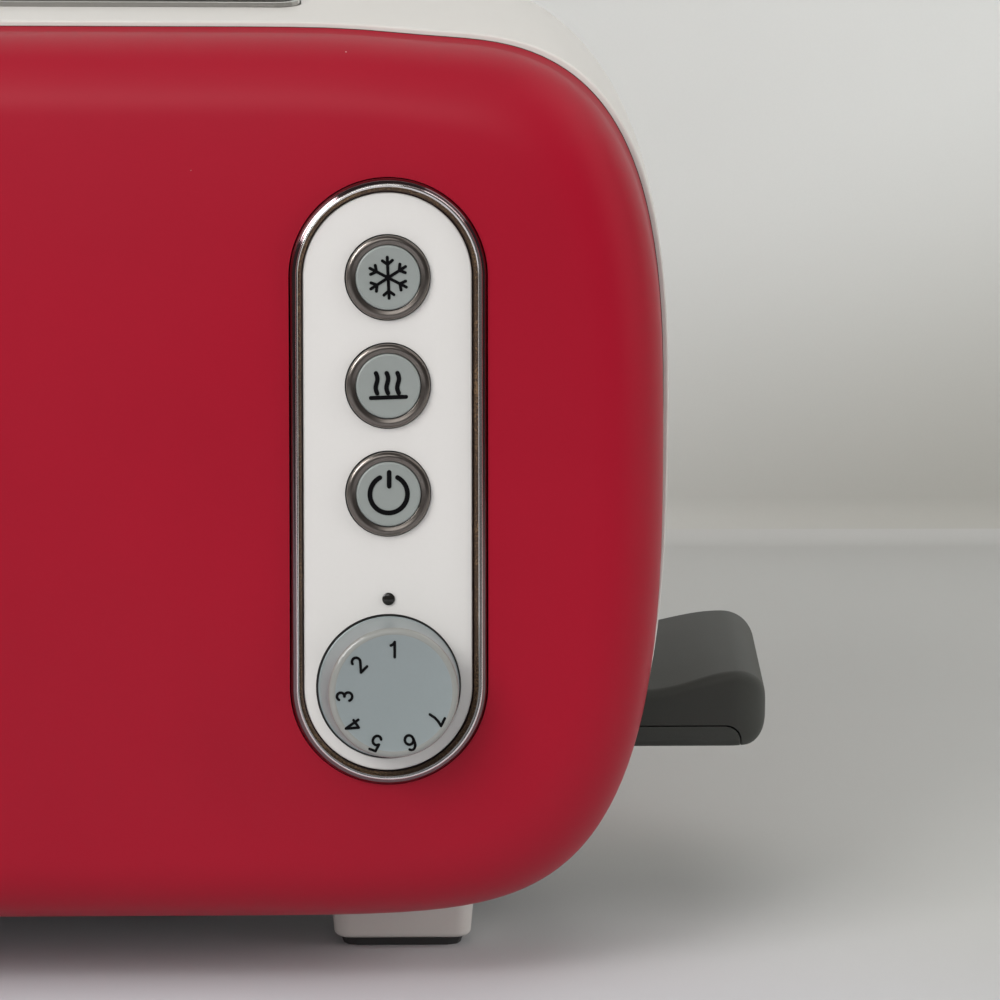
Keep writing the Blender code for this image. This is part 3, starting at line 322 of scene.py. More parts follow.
# Slow drift of a colour, with fine mottling in it
def makeDrift():
    group, given, made = startGroup(
        "toneDrift", {"Place": (0.0, 0.0, 0.0), "Color": (0.5, 0.5, 0.5, 1), "Scale": 30.0, "Amount": 0.08},
        {"Color": "Color"},
    )
    slow, fine = noise(group, given["Place"], given["Scale"], 2.0), noise(group, given["Place"], 1400.0, 2.0)
    both = compute(group, "ADD", slow, compute(group, "MULTIPLY", fine, 0.6))
    swing = compute(group, "MULTIPLY", compute(group, "SUBTRACT", both, 0.8), given["Amount"])
    shade = add(group, "ShaderNodeHueSaturation", Color=given["Color"], Value=compute(group, "ADD", swing, 1.0))
    feed(group, made["Color"], shade.outputs["Color"])
    return group


# Sparse settled specks of dust, as a mask
def makeDust():
    group, given, made = startGroup("dustSpecks", {"Place": (0.0, 0.0, 0.0)}, {"Mask": "Float"})
    cells = add(group, "ShaderNodeTexVoronoi", Vector=given["Place"], Scale=95.0)
    split = add(group, "ShaderNodeSeparateColor", Color=cells.outputs["Color"])
    small = compute(group, "LESS_THAN", cells.outputs["Distance"], 0.028)
    rare = compute(group, "GREATER_THAN", split.outputs[0], 0.86)
    feed(group, made["Mask"], compute(group, "MULTIPLY", small, rare))
    return group


# Fine lines along one direction, as on brushed or drawn metal
def makeBrush():
    group, given, made = startGroup(
        "brushedLines",
        {"Place": (0.0, 0.0, 0.0), "Stretch": (40.0, 2500.0, 2500.0), "Roughness": 0.3, "Vary": 0.15},
        {"Height": "Float", "Roughness": "Float"},
    )
    stretched = compute(group, "MULTIPLY", given["Place"], given["Stretch"], kind="VectorMath")
    lines = noise(group, stretched, 1.0, 4.0)
    feed(group, made["Height"], lines)
    swing = compute(group, "MULTIPLY", compute(group, "SUBTRACT", lines, 0.5), given["Vary"])
    feed(group, made["Roughness"], compute(group, "ADD", given["Roughness"], swing, use_clamp=True))
    return group


grainGroup, driftGroup, dustGroup, brushGroup = makeGrain(), makeDrift(), makeDust(), makeBrush()


def useGroup(tree, group, where, **values):
    return add(tree, "ShaderNodeGroup", node_tree=group, Place=where, **values).outputs


def startMaterial(name, **shader):
    material = bpy.data.materials.new(name)
    material.use_nodes = True
    tree = material.node_tree
    surface = tree.nodes["Principled BSDF"]
    for key, value in shader.items():
        surface.inputs[key.replace("_", " ")].default_value = value
    return material, tree, surface, tree.nodes.new("ShaderNodeTexCoord").outputs["Object"]


# Gives a surface its colour and roughness, and its relief as a bump
def dress(tree, surface, colour, roughness, height, strength, distance):
    bump = add(tree, "ShaderNodeBump", Height=height, Strength=strength, Distance=distance)
    for label, value in (("Base Color", colour), ("Roughness", roughness), ("Normal", bump.outputs["Normal"])):
        feed(tree, surface.inputs[label], value)


dustColour = (0.62, 0.58, 0.54)


# Moulded plastic or lacquer: drifting tone, grain, and a little dust
def plastic(name, colour, roughness, grain=0.00001, scale=2600.0, vary=0.08, drift=0.08, dust=0.0, **shader):
    material, tree, surface, where = startMaterial(name, **shader)
    tone = useGroup(tree, driftGroup, where, Color=(*colour, 1), Amount=drift)
    mould = useGroup(tree, grainGroup, where, Scale=scale, Roughness=roughness, Vary=vary)
    dusted = compute(tree, "MULTIPLY", useGroup(tree, dustGroup, where)["Mask"], dust)
    settled = mixColours(tree, dusted, tone["Color"], dustColour)
    dress(tree, surface, settled, mould["Roughness"], mould["Height"], 0.5, grain)
    return material


# Metal with lines in one direction and a drifting tone
def metal(name, colour, roughness, stretch=(40.0, 2500.0, 2500.0), vary=0.15, drift=0.1, depth=0.00001):
    material, tree, surface, where = startMaterial(name, Metallic=1.0)
    tone = useGroup(tree, driftGroup, where, Color=(*colour, 1), Amount=drift, Scale=45.0)
    lines = useGroup(tree, brushGroup, where, Stretch=stretch, Roughness=roughness, Vary=vary)
    dress(tree, surface, tone["Color"], lines["Roughness"], lines["Height"], 0.35, depth)
    return material


redLacquer = plastic(
    "redLacquer", (0.312, 0.0038, 0.0178), 0.4, grain=0.000012, scale=1900.0, drift=0.1, dust=0.5,
    Specular_IOR_Level=0.24,
)
creamPlastic = plastic("creamPlastic", (0.62, 0.6, 0.57), 0.36, drift=0.05)
panelPlastic = plastic("panelPlastic", (0.66, 0.648, 0.63), 0.4, drift=0.035, grain=0.000006)
# Painted highlight: the dial's shoulder is a paler, warmer copy of the dial's colour
dialShoulderHighlight = plastic("dialShoulderHighlight", (0.262, 0.27, 0.255), 0.2, drift=0.06, grain=0.000004)
dialPlastic = plastic("dialPlastic", (0.235, 0.27, 0.275), 0.34, drift=0.06, dust=0.15, grain=0.000006)
buttonPlastic = plastic("buttonPlastic", (0.25, 0.272, 0.262), 0.38, drift=0.06, dust=0.1, grain=0.000006)
coarseGrain = {"drift": 0.12, "grain": 0.00002, "scale": 1500.0}
leverPlastic = plastic(
    "leverPlastic", (0.043, 0.0445, 0.04), 0.5, dust=0.3, Specular_IOR_Level=0.22, **coarseGrain,
)
insertPlastic = plastic(
    "insertPlastic", (0.047, 0.05, 0.045), 0.5, dust=0.2, Specular_IOR_Level=0.25, **coarseGrain,
)
darkPlastic = plastic("darkPlastic", (0.03, 0.03, 0.03), 0.5)
printInk = plastic(
    "printInk", (0.0035, 0.0035, 0.004), 0.6, drift=0.2, grain=0.000004, Specular_IOR_Level=0.06,
)
blackGloss = plastic("blackGloss", (0.012, 0.011, 0.009), 0.12, grain=0.000002)
rubberPad = plastic("rubberPad", (0.04, 0.04, 0.04), 0.8, grain=0.00003, scale=1200.0, vary=0.15, dust=0.6)
polished = {"stretch": (300.0, 300.0, 300.0), "vary": 0.05, "drift": 0.06, "depth": 0.000003}
# Painted reflection and highlight: the bezel's chrome is a dark, red-tinted copy for what its rim mirrors, and a
# bright copy for the highlight line on its ridge
reflectionShadedChrome = metal("reflectionShadedChrome", (0.2, 0.135, 0.142), 0.09, **polished)
highlightChrome = metal("highlightChrome", (0.88, 0.85, 0.84), 0.1, **polished)
gunmetalPaint = metal(
    "gunmetalPaint", (0.2, 0.178, 0.16), 0.3, stretch=(2600.0, 2600.0, 2600.0), vary=0.06, depth=0.000005,
)
brushedSteel = metal("brushedSteel", (0.56, 0.55, 0.53), 0.3)
drawnSteel = metal("drawnSteel", (0.4, 0.39, 0.38), 0.34, stretch=(2000.0, 2000.0, 60.0), vary=0.2)
copperWire = metal("copperWire", (0.62, 0.27, 0.12), 0.35, stretch=(30.0, 30.0, 5200.0), vary=0.3, depth=0.0001)


# The bezel's inner wall: painted reflection, dark bronze with golden flecks in place of what the chrome wall
# mirrors
def makeReflectionWall():
    material, tree, surface, where = startMaterial("reflectionWall", Metallic=0.85)
    tone = useGroup(tree, driftGroup, where, Color=(0.1, 0.066, 0.045, 1), Amount=0.6, Scale=120.0)
    grains, stain = noise(tree, where, 2300.0, 2.0), noise(tree, where, 70.0, 2.0)
    speckled = compute(tree, "MULTIPLY", grains, compute(tree, "ADD", stain, 0.55))
    flecks = colourRamp(tree, speckled, (0.5, (0.0, 0.0, 0.0)), (0.72, (1.0, 1.0, 1.0)))
    rough = compute(tree, "ADD", compute(tree, "MULTIPLY", grains, 0.3), 0.22)
    golden = mixColours(tree, flecks, tone["Color"], (0.28, 0.18, 0.1))
    dress(tree, surface, golden, rough, grains, 0.6, 0.00003)
    return material


# Steel that heat has tinted straw and blue in patches
def makeHeatSteel():
    material, tree, surface, where = startMaterial("heatTintedSteel", Metallic=1.0)
    lines = useGroup(tree, brushGroup, where, Stretch=(60.0, 1800.0, 1800.0), Roughness=0.36, Vary=0.2)
    tints = ((0.0, (0.36, 0.33, 0.29)), (0.5, (0.46, 0.4, 0.31)), (1.0, (0.33, 0.35, 0.38)))
    patches = colourRamp(tree, noise(tree, where, 32.0, 3.0), *tints)
    dress(tree, surface, patches, lines["Roughness"], lines["Height"], 0.3, 0.00001)
    return material


# Mica board with pale flakes. What stands off the board's middle plane is heating ribbon.
def makeMica(name, middleY):
    material, tree, surface, where = startMaterial(name)
    flakes = add(tree, "ShaderNodeTexVoronoi", Vector=where, Scale=420.0).outputs["Distance"]
    mottled = compute(tree, "MULTIPLY", compute(tree, "ADD", flakes, noise(tree, where, 60.0, 4.0)), 0.8)
    flaked = colourRamp(tree, mottled, (0.0, (0.3, 0.22, 0.13)), (1.0, (0.62, 0.52, 0.38)))
    level = add(tree, "ShaderNodeSeparateXYZ", Vector=where).outputs["Y"]
    off = compute(tree, "ABSOLUTE", compute(tree, "SUBTRACT", level, middleY))
    ribbon = compute(tree, "GREATER_THAN", off, 0.0006)
    feed(tree, surface.inputs["Metallic"], compute(tree, "MULTIPLY", ribbon, 0.9))
    rough = compute(tree, "SUBTRACT", 0.7, compute(tree, "MULTIPLY", ribbon, 0.3))
    dress(tree, surface, mixColours(tree, ribbon, flaked, (0.3, 0.27, 0.24)), rough, flakes, 0.5, 0.00005)
    return material


# Green board with faint copper tracks under the lacquer
def makeBoard():
    material, tree, surface, where = startMaterial("boardLacquer")
    tracks = add(
        tree, "ShaderNodeTexBrick", Vector=where, Scale=110.0, Color1=(0.012, 0.09, 0.035, 1),
        Color2=(0.016, 0.11, 0.045, 1), Mortar=(0.04, 0.19, 0.07, 1),
    )
    tone = useGroup(tree, driftGroup, where, Color=tracks.outputs["Color"], Amount=0.3, Scale=60.0)
    flow = useGroup(tree, grainGroup, where, Scale=900.0, Roughness=0.35, Vary=0.1)
    dress(tree, surface, tone["Color"], flow["Roughness"], flow["Height"], 0.4, 0.00002)
    return material


reflectionWall, heatSteel, boardLacquer = makeReflectionWall(), makeHeatSteel(), makeBoard()
print("materials ready")


def signedPower(value, power):
    return 0.0 if abs(value) < 1e-9 else math.copysign(abs(value) ** power, value)


def outlinePoint(angle, halfLength, height):
    x = halfLength * signedPower(math.cos(angle), 2 / body["sideExponent"])
    z = height * signedPower(math.sin(angle), 2 / body["crownExponent"])
    return x, z


# Angles that space the outline's points half by length and half by turning
def quarterAngles(height):
    fine = [i / 1200 * math.pi / 2 for i in range(1201)]
    points = [outlinePoint(angle, body["halfLength"], height) for angle in fine]
    pairs = list(zip(points, points[1:]))
    headings = [math.atan2(first[0] - second[0], second[1] - first[1]) for first, second in pairs]
    lengths = [math.dist(first, second) for first, second in pairs]
    turns = [0.0] + [second - first for first, second in zip(headings, headings[1:])]
    travelled = [0.0]
    for length, turn in zip(lengths, turns):
        travelled.append(travelled[-1] + length / sum(lengths) + turn / sum(turns))
    angles = []
    for k in range(body["quarterPoints"]):
        target = travelled[-1] * k / body["quarterPoints"]
        i = max(j for j, reached in enumerate(travelled[:-1]) if reached <= target)
        part = (target - travelled[i]) / (travelled[i + 1] - travelled[i])
        angles.append(fine[i] + part * (fine[i + 1] - fine[i]))
    return angles


upper, lower = quarterAngles(body["rise"]), quarterAngles(body["drop"])
outlineAngles = upper + [math.pi / 2] + [math.pi - a for a in upper[::-1]]
outlineAngles += [math.pi + a for a in lower[1:]] + [math.pi * 1.5] + [math.pi * 2 - a for a in lower[:0:-1]]


# The crown lies a little lower on both sides of its middle
def bowAt(x):
    share = abs(x) / body["halfLength"]
    return body["bow"] * math.exp(-((share - body["bowMiddle"]) / body["bowWidth"]) ** 2)


def bodyRing(offset, depth, slope=0.0, share=1.0):
    ring = []
    centreX, centreY = body["centre"]
    for angle in outlineAngles:
        height = body["rise"] if math.sin(angle) > 0 else body["drop"]
        x, z = outlinePoint(angle, body["halfLength"] + offset, height + offset)
        if z > 0:
            z -= bowAt(x)
        x = centreX + body["shift"] + x * share
        ring.append((x, centreY + depth + slope * z * share, body["midHeight"] + z * share))
    return ring


def bandStations(grow=0.0):
    flat = body["bandHalfWidth"] - body["bandEdge"]
    stations = []
    for i in range(13):
        share = -1 + i / 6
        stations.append((body["bandStep"] + grow - body["bandCrown"] * share * share, share * flat))
    for step in range(1, 7):
        turn = step / 6 * math.pi / 2
        inset = body["bandCrown"] + body["bandEdge"] * (1 - math.cos(turn))
        depth = body["bandHalfWidth"] - body["bandEdge"] * (1 - math.sin(turn))
        stations.append((body["bandStep"] + grow - inset, depth))
        stations.insert(0, (body["bandStep"] + grow - inset, -depth))
    return stations


def bandForm(name, grow=0.0):
    return skin(name, [bodyRing(*station) for station in bandStations(grow)])


def bodyX(x):
    return x + body["centre"][0]


def bodyY(y):
    return y + body["centre"][1]


# One red cover: crowned face, rounded edge and drafted wall as rings, then its thickness inwards
def makeShellSkin(name, side):
    edge, joint, depth = body["edge"], body["joint"], body["depth"]
    lastTurn = math.pi / 2 - 2 * body["crown"] / body["rise"]
    lean = -side * body["lean"]
    inset = body["draft"] + edge * (1 - math.cos(lastTurn))
    rings = []
    for share in (0.06, 0.18, 0.3, 0.42, 0.54, 0.66, 0.76, 0.85, 0.93, 1):
        rings.append(bodyRing(-inset, side * (joint + depth - body["crown"] * share * share), lean, share))
    for step in reversed(range(14)):
        turn = lastTurn * step / 14
        level = depth - body["crown"] - edge * math.sin(lastTurn) + edge * math.sin(turn)
        rings.append(bodyRing(-body["draft"] - edge * (1 - math.cos(turn)), side * (joint + level), lean))
    rings.append(bodyRing(0.0, side * joint))
    shell = skin(name, rings, capped=False)
    editPiece(shell)
    pick(shell, "EDGE", lambda e: e.is_boundary and abs(e.verts[0].co.y - bodyY(0)) > joint + edge / 2)
    bpy.ops.mesh.edge_face_add()
    recalculate(shell)
    # The open skin's outside is the side away from the body's middle
    if max(shell.data.polygons, key=lambda p: p.center.y * side).normal.y * side < 0:
        shell.data.flip_normals()
    modify(shell, "SOLIDIFY", thickness=body["shellWall"], offset=-1.0, use_even_offset=True)
    return shell


# The panel's own frame comes from the dial's joint: Z is outward, Y up the face
panel = {
    "span": 0.0838, "bezelRadius": 0.0202, "plateRadius": 0.01728, "pitch": 0.0221, "gap": 0.0003,
    "bezelShift": 0.00018, "bezelGap": 0.0002,
}
dialJoint = next(joint for joint in frame["joints"] if joint["name"] == "dial_turn")
outward = -Vector(dialJoint["axis"]).normalized()
faceUp = (Vector((0, 0, 1)) - outward * outward.z).normalized()
panelMatrix = Matrix((faceUp.cross(outward), faceUp, outward)).transposed().to_4x4()
panelMatrix.translation = Vector(dialJoint["pos_m"]) + faceUp * panel["span"] / 2
buttonLevels = {}
for i, name in enumerate(("defrost", "reheat", "cancel")):
    buttonLevels[name] = panel["span"] / 2 - i * panel["pitch"]


# A straight-sided oval prism in the panel's frame, to cut with
def ovalTool(name, radius, bottom, top, shift=0.0):
    profile = [(0, bottom), (radius, bottom), (radius, top), (0, top)]
    tool = turnPiece(name, profile, steps=128, span=panel["span"])
    place(tool, Matrix.Translation((shift, 0, 0)))
    return place(tool, panelMatrix)


def roundTool(name, radius, bottom, top, matrix, steps=64):
    profile = [(0, bottom), (radius, bottom), (radius, top), (0, top)]
    return place(turnPiece(name, profile, steps=steps), matrix)


frontShell = makeShellSkin("front_cover", -1)
cut = {"bottom": -0.02, "top": 0.01}        # how far tools reach below and above a face
carve(frontShell, ovalTool(
    "panelCut", panel["bezelRadius"] + panel["bezelGap"], cut["bottom"], cut["top"], panel["bezelShift"],
))
smoothPiece(frontShell)
settle(wear(frontShell, redLacquer), "body", ["front_shell"])

gland = {
    "bore": 0.004, "radius": 0.0055, "flange": 0.0085, "thickness": 0.00158, "depth": 0.009,
    "mouthRound": 0.0004, "flangeRound": 0.0009,
}
glandMatrix = Matrix(((-0.9999, -0.00046, 0.01399, 0.05725), (0.014, -0.0332, 0.99935, 0.09436),
                      (0, 0.99945, 0.03321, 0.042), (0, 0, 0, 1)))
backShell = makeShellSkin("back_cover", 1)
carve(backShell, roundTool("glandCut", gland["radius"] + panel["gap"], cut["bottom"], cut["top"], glandMatrix))
smoothPiece(backShell)
settle(wear(backShell, redLacquer), "body", ["back_shell"])

flangeTop, mouth, rim = panel["gap"] + gland["thickness"], gland["mouthRound"], gland["flangeRound"]
glandProfile = [(gland["bore"], flangeTop - mouth)]
glandProfile += arc(gland["bore"] + mouth, flangeTop - mouth, mouth, 180, 90, 4)[1:]
glandProfile += arc(gland["flange"] - rim, flangeTop - rim, rim, 90, 0, 8)
glandProfile += [
    (gland["flange"], panel["gap"]), (gland["radius"], panel["gap"]),
    (gland["radius"], -gland["depth"]), (gland["bore"], -gland["depth"]),
]
cordGland = place(turnPiece("gland_sleeve", glandProfile, steps=64, closed=True), glandMatrix)
settle(wear(smoothPiece(cordGland), darkPlastic), "body", ["cord_gland"])
print("covers ready")

# Pale housing between the covers
housing = {
    "top": 0.2, "floor": 0.0165, "baseHalf": 0.092519, "slotHalfX": 0.071019, "slotMiddle": -0.015,
    "slotHalfY": 0.015, "slotOffset": 0.021, "slotCorner": 0.006, "openingDepth": 0.02, "slotCutTop": 0.21,
    "leverHalf": 0.03, "leverLow": 0.0388, "leverHigh": 0.0553, "travel": 0.06, "recessFloor": 0.127,
    "recessMargin": 0.002, "recessWall": 0.0025, "recessCorner": 0.006, "leverReach": 0.1595,
    "armHalf": 0.001, "armLow": 0.0455, "armHigh": 0.0505, "armSlotStart": 0.104, "armCorner": 0.0015,
    "runningGap": 0.001, "sideCutEnd": 0.17, "baseHalfY": 0.0625,
    "handleHalf": 0.044, "handleLow": 0.0195, "handleHigh": 0.0293, "handleCutEnd": -0.141, "handleCutIn": 0.01,
    "handleCorner": 0.0006, "jointStep": 0.00012, "paintedShadeDepth": 0.0085,
}


def bodyBlock(name, low, high, radius=0.0, axis=0, segments=8):
    low, high = (bodyX(low[0]), bodyY(low[1]), low[2]), (bodyX(high[0]), bodyY(high[1]), high[2])
    return roundedBlock(name, low, high, radius, axis, segments)


# Whether a point lies within the body's outline grown by an offset
def insideOutline(point, offset):
    x, z = point.x - body["centre"][0] - body["shift"], point.z - body["midHeight"]
    height = body["rise"] + offset if z > 0 else body["drop"] + offset
    level = z + bowAt(x) if z > 0 else -z
    sideways = (abs(x) / (body["halfLength"] + offset)) ** body["sideExponent"]
    return sideways + (level / height) ** body["crownExponent"] < 1


def makeHousing():
    step, wall, half = body["bandStep"], body["bandWall"], body["bandHalfWidth"]
    jointStep, flange, inside = housing["jointStep"], -body["bandFlange"], step - body["bandCrown"] - wall
    inner = [(jointStep, half), (flange, half), (flange, half - wall), (inside, half - wall)]
    inner += [(inside, wall - half), (flange, wall - half), (flange, -half), (jointStep, -half)]
    piece = skin("housing_band", [bodyRing(*station) for station in bandStations() + inner], closed=True)
    margin, recessWall = housing["recessMargin"], housing["recessWall"]
    half, low = housing["leverHalf"] + margin, housing["leverLow"] - margin
    high = housing["leverHigh"] + housing["travel"] + 2 * margin
    tub = bodyBlock(
        "recessTub", (housing["recessFloor"] - recessWall, -half - recessWall, low - recessWall),
        (housing["leverReach"], half + recessWall, high + recessWall), housing["recessCorner"] + recessWall,
    )
    carve(tub, bandForm("recessLimit", -body["bandWall"] / 2), "INTERSECT")
    carve(piece, tub, "UNION")
    carve(piece, bodyBlock(
        "recessCut", (housing["recessFloor"], -half, low), (housing["sideCutEnd"], half, high),
        housing["recessCorner"],
    ))
    run = housing["runningGap"]
    carve(piece, bodyBlock(
        "armSlot", (housing["armSlotStart"], -housing["armHalf"] - run, housing["armLow"] - run),
        (housing["sideCutEnd"], housing["armHalf"] + run, housing["armHigh"] + housing["travel"] + run),
        housing["armCorner"],
    ))
    base, across = housing["baseHalf"], housing["baseHalfY"]
    carve(piece, bodyBlock("baseCut", (-base, -across, 0), (base, across, housing["floor"] + panel["gap"])))
    carve(piece, bodyBlock(
        "trayCut", (housing["handleCutEnd"], -housing["handleHalf"], housing["handleLow"]),
        (housing["handleCutIn"] - base, housing["handleHalf"], housing["handleHigh"]),
        housing["handleCorner"], segments=3,
    ))
    halfX, halfY, slotLow = housing["slotHalfX"], housing["slotHalfY"], housing["top"] - housing["openingDepth"]
    for middle in (-housing["slotOffset"], housing["slotOffset"]):
        carve(piece, bodyBlock(
            "breadCut", (housing["slotMiddle"] - halfX, middle - halfY, slotLow),
            (housing["slotMiddle"] + halfX, middle + halfY, housing["slotCutTop"]), housing["slotCorner"], 2,
        ))
    return piece


housingBand = makeHousing()
wear(housingBand, creamPlastic, darkPlastic)
# Painted shade: the narrow joint beside each red cover gets the dark material, standing in for the shadow in the
# gap
for polygon in housingBand.data.polygons:
    middle = polygon.center
    atSide = abs(polygon.normal.y) > 0.99 and abs(middle.y - bodyY(0)) > body["bandHalfWidth"] - close
    if atSide and insideOutline(middle, close) and not insideOutline(middle, -housing["paintedShadeDepth"]):
        polygon.material_index = 1
smoothPiece(housingBand)
settle(housingBand, "body", ["center_housing"])
print("housing ready")

# Chrome bezel, panel plate and its fittings
inner, outer = panel["plateRadius"] + panel["gap"], panel["bezelRadius"]
bezelLook = {
    "wall": 0.0016, "seat": -0.0023, "underside": -0.0038, "foot": -0.0075, "outerDrop": -0.0009,
    "innerWall": (
        (0.0, -0.0002), (0.00025, 0.0003), (0.00066, 0.00088), (0.00078, 0.00094), (0.00084, 0.00084),
    ),
    "crestReach": 0.0012, "crestHeight": 0.00097, "crestRound": 0.00036,
    "rimRound": 0.00112, "rimHeight": -0.0008, "rimStretch": 1.62, "reflectionWallReach": 0.00082, "visible": -0.0004,
}
wall, crestR = bezelLook["wall"], inner + bezelLook["crestReach"]
crestRound, rim = bezelLook["crestRound"], bezelLook["rimRound"]
bezelProfile = [(inner - wall, bezelLook["seat"]), (inner, bezelLook["seat"])]
bezelProfile += [(inner + reach, height) for reach, height in bezelLook["innerWall"]]
bezelProfile += arc(crestR, bezelLook["crestHeight"], crestRound, 180, 20, 10)
bezelProfile += arc(outer - rim, bezelLook["rimHeight"], rim, 74, 4, 14, flat=bezelLook["rimStretch"])
bezelProfile += [
    (outer, bezelLook["outerDrop"]), (outer, bezelLook["foot"]), (outer - wall, bezelLook["foot"]),
    (outer - wall, bezelLook["underside"]), (inner - wall, bezelLook["underside"]),
]
bezel = turnPiece("bezel_frame", bezelProfile, steps=160, closed=True, span=panel["span"])
wear(bezel, reflectionShadedChrome, reflectionWall, highlightChrome)


# How far a point lies from the oval's middle line
def ovalDistance(point):
    beyond = max(0.0, abs(point.y) - panel["span"] / 2)
    return math.hypot(point.x, beyond)


# Painted reflection and highlight on the chrome: the inner wall gets the brown copy, the ridge the bright copy,
# and the rim the dark red-tinted copy
for polygon in bezel.data.polygons:
    reach, raised = ovalDistance(polygon.center), polygon.center.z > bezelLook["visible"]
    if raised and reach < crestR + crestRound:
        polygon.material_index = 1 if reach < inner + bezelLook["reflectionWallReach"] else 2
for vert in bezel.data.vertices:
    if ovalDistance(vert.co) > crestR:
        vert.co.x += panel["bezelShift"]
smoothPiece(place(bezel, panelMatrix), 40)
settle(bezel, "body", ["panel_bezel"])

plateLook = {
    "thickness": 0.002, "edge": 0.0004, "studRadius": 0.002, "studEnd": -0.0192, "studStart": -0.001,
    "studSide": 0.0125, "studShares": (0.37, -0.24), "buttonHole": 0.0082, "dialHole": 0.0047, "dotHole": 0.001,
    "dotRise": 0.018, "buttonGroove": 0.00864, "dialGroove": 0.01472, "grooveIn": 0.0005, "grooveOut": 0.0002,
    "grooveFloor": -0.0012, "grooveTop": 0.001, "cut": 0.01,
}
dialLevel, edge, deep = -panel["span"] / 2, plateLook["edge"], plateLook["thickness"]
plateProfile = [(0, -deep), (panel["plateRadius"], -deep)]
plateProfile += arc(panel["plateRadius"] - edge, -edge, edge, 0, 90, 5) + [(0, 0)]
plate = turnPiece("plate_face", plateProfile, steps=160, span=panel["span"])
for side in (-1, 1):
    for share in plateLook["studShares"]:
        spot = Matrix.Translation((side * plateLook["studSide"], share * panel["span"], 0))
        low, high = plateLook["studEnd"], plateLook["studStart"]
        carve(plate, roundTool("plateStud", plateLook["studRadius"], low, high, spot, 32), "UNION")
holes = [(level, plateLook["buttonHole"], 64) for level in buttonLevels.values()]
holes += [(dialLevel, plateLook["dialHole"], 64), (dialLevel + plateLook["dotRise"], plateLook["dotHole"], 24)]
for level, radius, steps in holes:
    spot = Matrix.Translation((0, level, 0))
    carve(plate, roundTool("plateHole", radius, -plateLook["cut"], plateLook["cut"], spot, steps))
grooves = [(level, plateLook["buttonGroove"]) for level in buttonLevels.values()]
for level, radius in grooves + [(dialLevel, plateLook["dialGroove"])]:
    inside, outside = radius - plateLook["grooveIn"], radius + plateLook["grooveOut"]
    low, high = plateLook["grooveFloor"], plateLook["grooveTop"]
    grooveProfile = [(inside, low), (outside, low), (outside, high), (inside, high)]
    groove = turnPiece("shadowGroove", grooveProfile, steps=96, closed=True)
    carve(plate, place(groove, Matrix.Translation((0, level, 0))))
wear(plate, panelPlastic, darkPlastic)
# Painted shade: each groove's floor gets the dark material, as the shadow down in the groove
for polygon in plate.data.polygons:
    if polygon.normal.z > 0.9 and abs(polygon.center.z - plateLook["grooveFloor"]) < close:
        polygon.material_index = 1
smoothPiece(place(plate, panelMatrix))
settle(plate, "body", ["panel_plate"])

ringLook = {
    "bore": 0.00674, "radius": 0.0086, "sleeve": 0.0079, "sleeveEnd": -0.0035, "seat": 0.0003,
    "lipHeight": 0.00115, "lipRound": 0.00015, "ledge": (0.0005, 0.00136),
    "shoulder": 0.001, "shoulderHeight": 0.0006, "shoulderFlat": 0.92,
}
bore, radius, lip = ringLook["bore"], ringLook["radius"], ringLook["lipRound"]
ringProfile = [(bore, ringLook["sleeveEnd"]), (bore, ringLook["lipHeight"])]
ringProfile += arc(bore + lip, ringLook["lipHeight"], lip, 180, 100, 5)[1:]
ringProfile += [(bore + ringLook["ledge"][0], ringLook["ledge"][1])]
ringProfile += arc(
    radius - ringLook["shoulder"], ringLook["shoulderHeight"], ringLook["shoulder"], 96, 8, 14,
    flat=ringLook["shoulderFlat"],
)
ringProfile += [
    (radius, ringLook["shoulderHeight"]), (radius, ringLook["seat"]), (ringLook["sleeve"], ringLook["seat"]),
    (ringLook["sleeve"], ringLook["sleeveEnd"]),
]
buttonLook = {
    "radius": 0.00664, "rise": 0.0014, "edge": 0.00045,
    "dish": ((0.0, 0.0002), (0.0035, 0.00015), (0.00604, 0.00001)),
    "flange": 0.0075, "flangeTop": -0.0038, "flangeBottom": -0.0048, "stem": 0.0016, "stemEnd": -0.0124,
}
radius, edge, flange, stem = buttonLook["radius"], buttonLook["edge"], buttonLook["flange"], buttonLook["stem"]
buttonProfile = [(reach, buttonLook["rise"] - depth) for reach, depth in buttonLook["dish"]]
buttonProfile += arc(radius - edge, buttonLook["rise"] - edge, edge, 90, 0, 6)
buttonProfile += [
    (radius, buttonLook["flangeTop"]), (flange, buttonLook["flangeTop"]), (flange, buttonLook["flangeBottom"]),
    (stem, buttonLook["flangeBottom"]), (stem, buttonLook["stemEnd"]), (0, buttonLook["stemEnd"]),
]


# A flat printed stroke with round ends along points, standing just proud of what it is printed on
def stroke(name, points, width, low, high):
    half = width / 2
    places = [Vector((*point, 0)) for point in points]
    ahead = [(b - a).normalized() for a, b in zip(places, places[1:])]
    along = [ahead[0]] + [(a + b).normalized() for a, b in zip(ahead, ahead[1:])] + [ahead[-1]]
    left = [p + Vector((-d.y, d.x, 0)) * half for p, d in zip(places, along)]
    right = [p - Vector((-d.y, d.x, 0)) * half for p, d in zip(places, along)]

    def cap(middle, direction):
        start = math.atan2(direction.y, direction.x) + math.pi / 2
        turns = [start - math.pi * i / 7 for i in range(1, 7)]
        return [middle + Vector((math.cos(turn), math.sin(turn), 0)) * half for turn in turns]

    ring = left + cap(places[-1], along[-1]) + right[::-1] + cap(places[0], -along[0])
    return skin(name, [[(p.x, p.y, low) for p in ring], [(p.x, p.y, high) for p in ring]])


def joinPieces(name, pieces):
    deselect()
    for piece in pieces:
        piece.select_set(True)
    bpy.context.view_layer.objects.active = pieces[0]
    bpy.ops.object.join()
    return named(name)


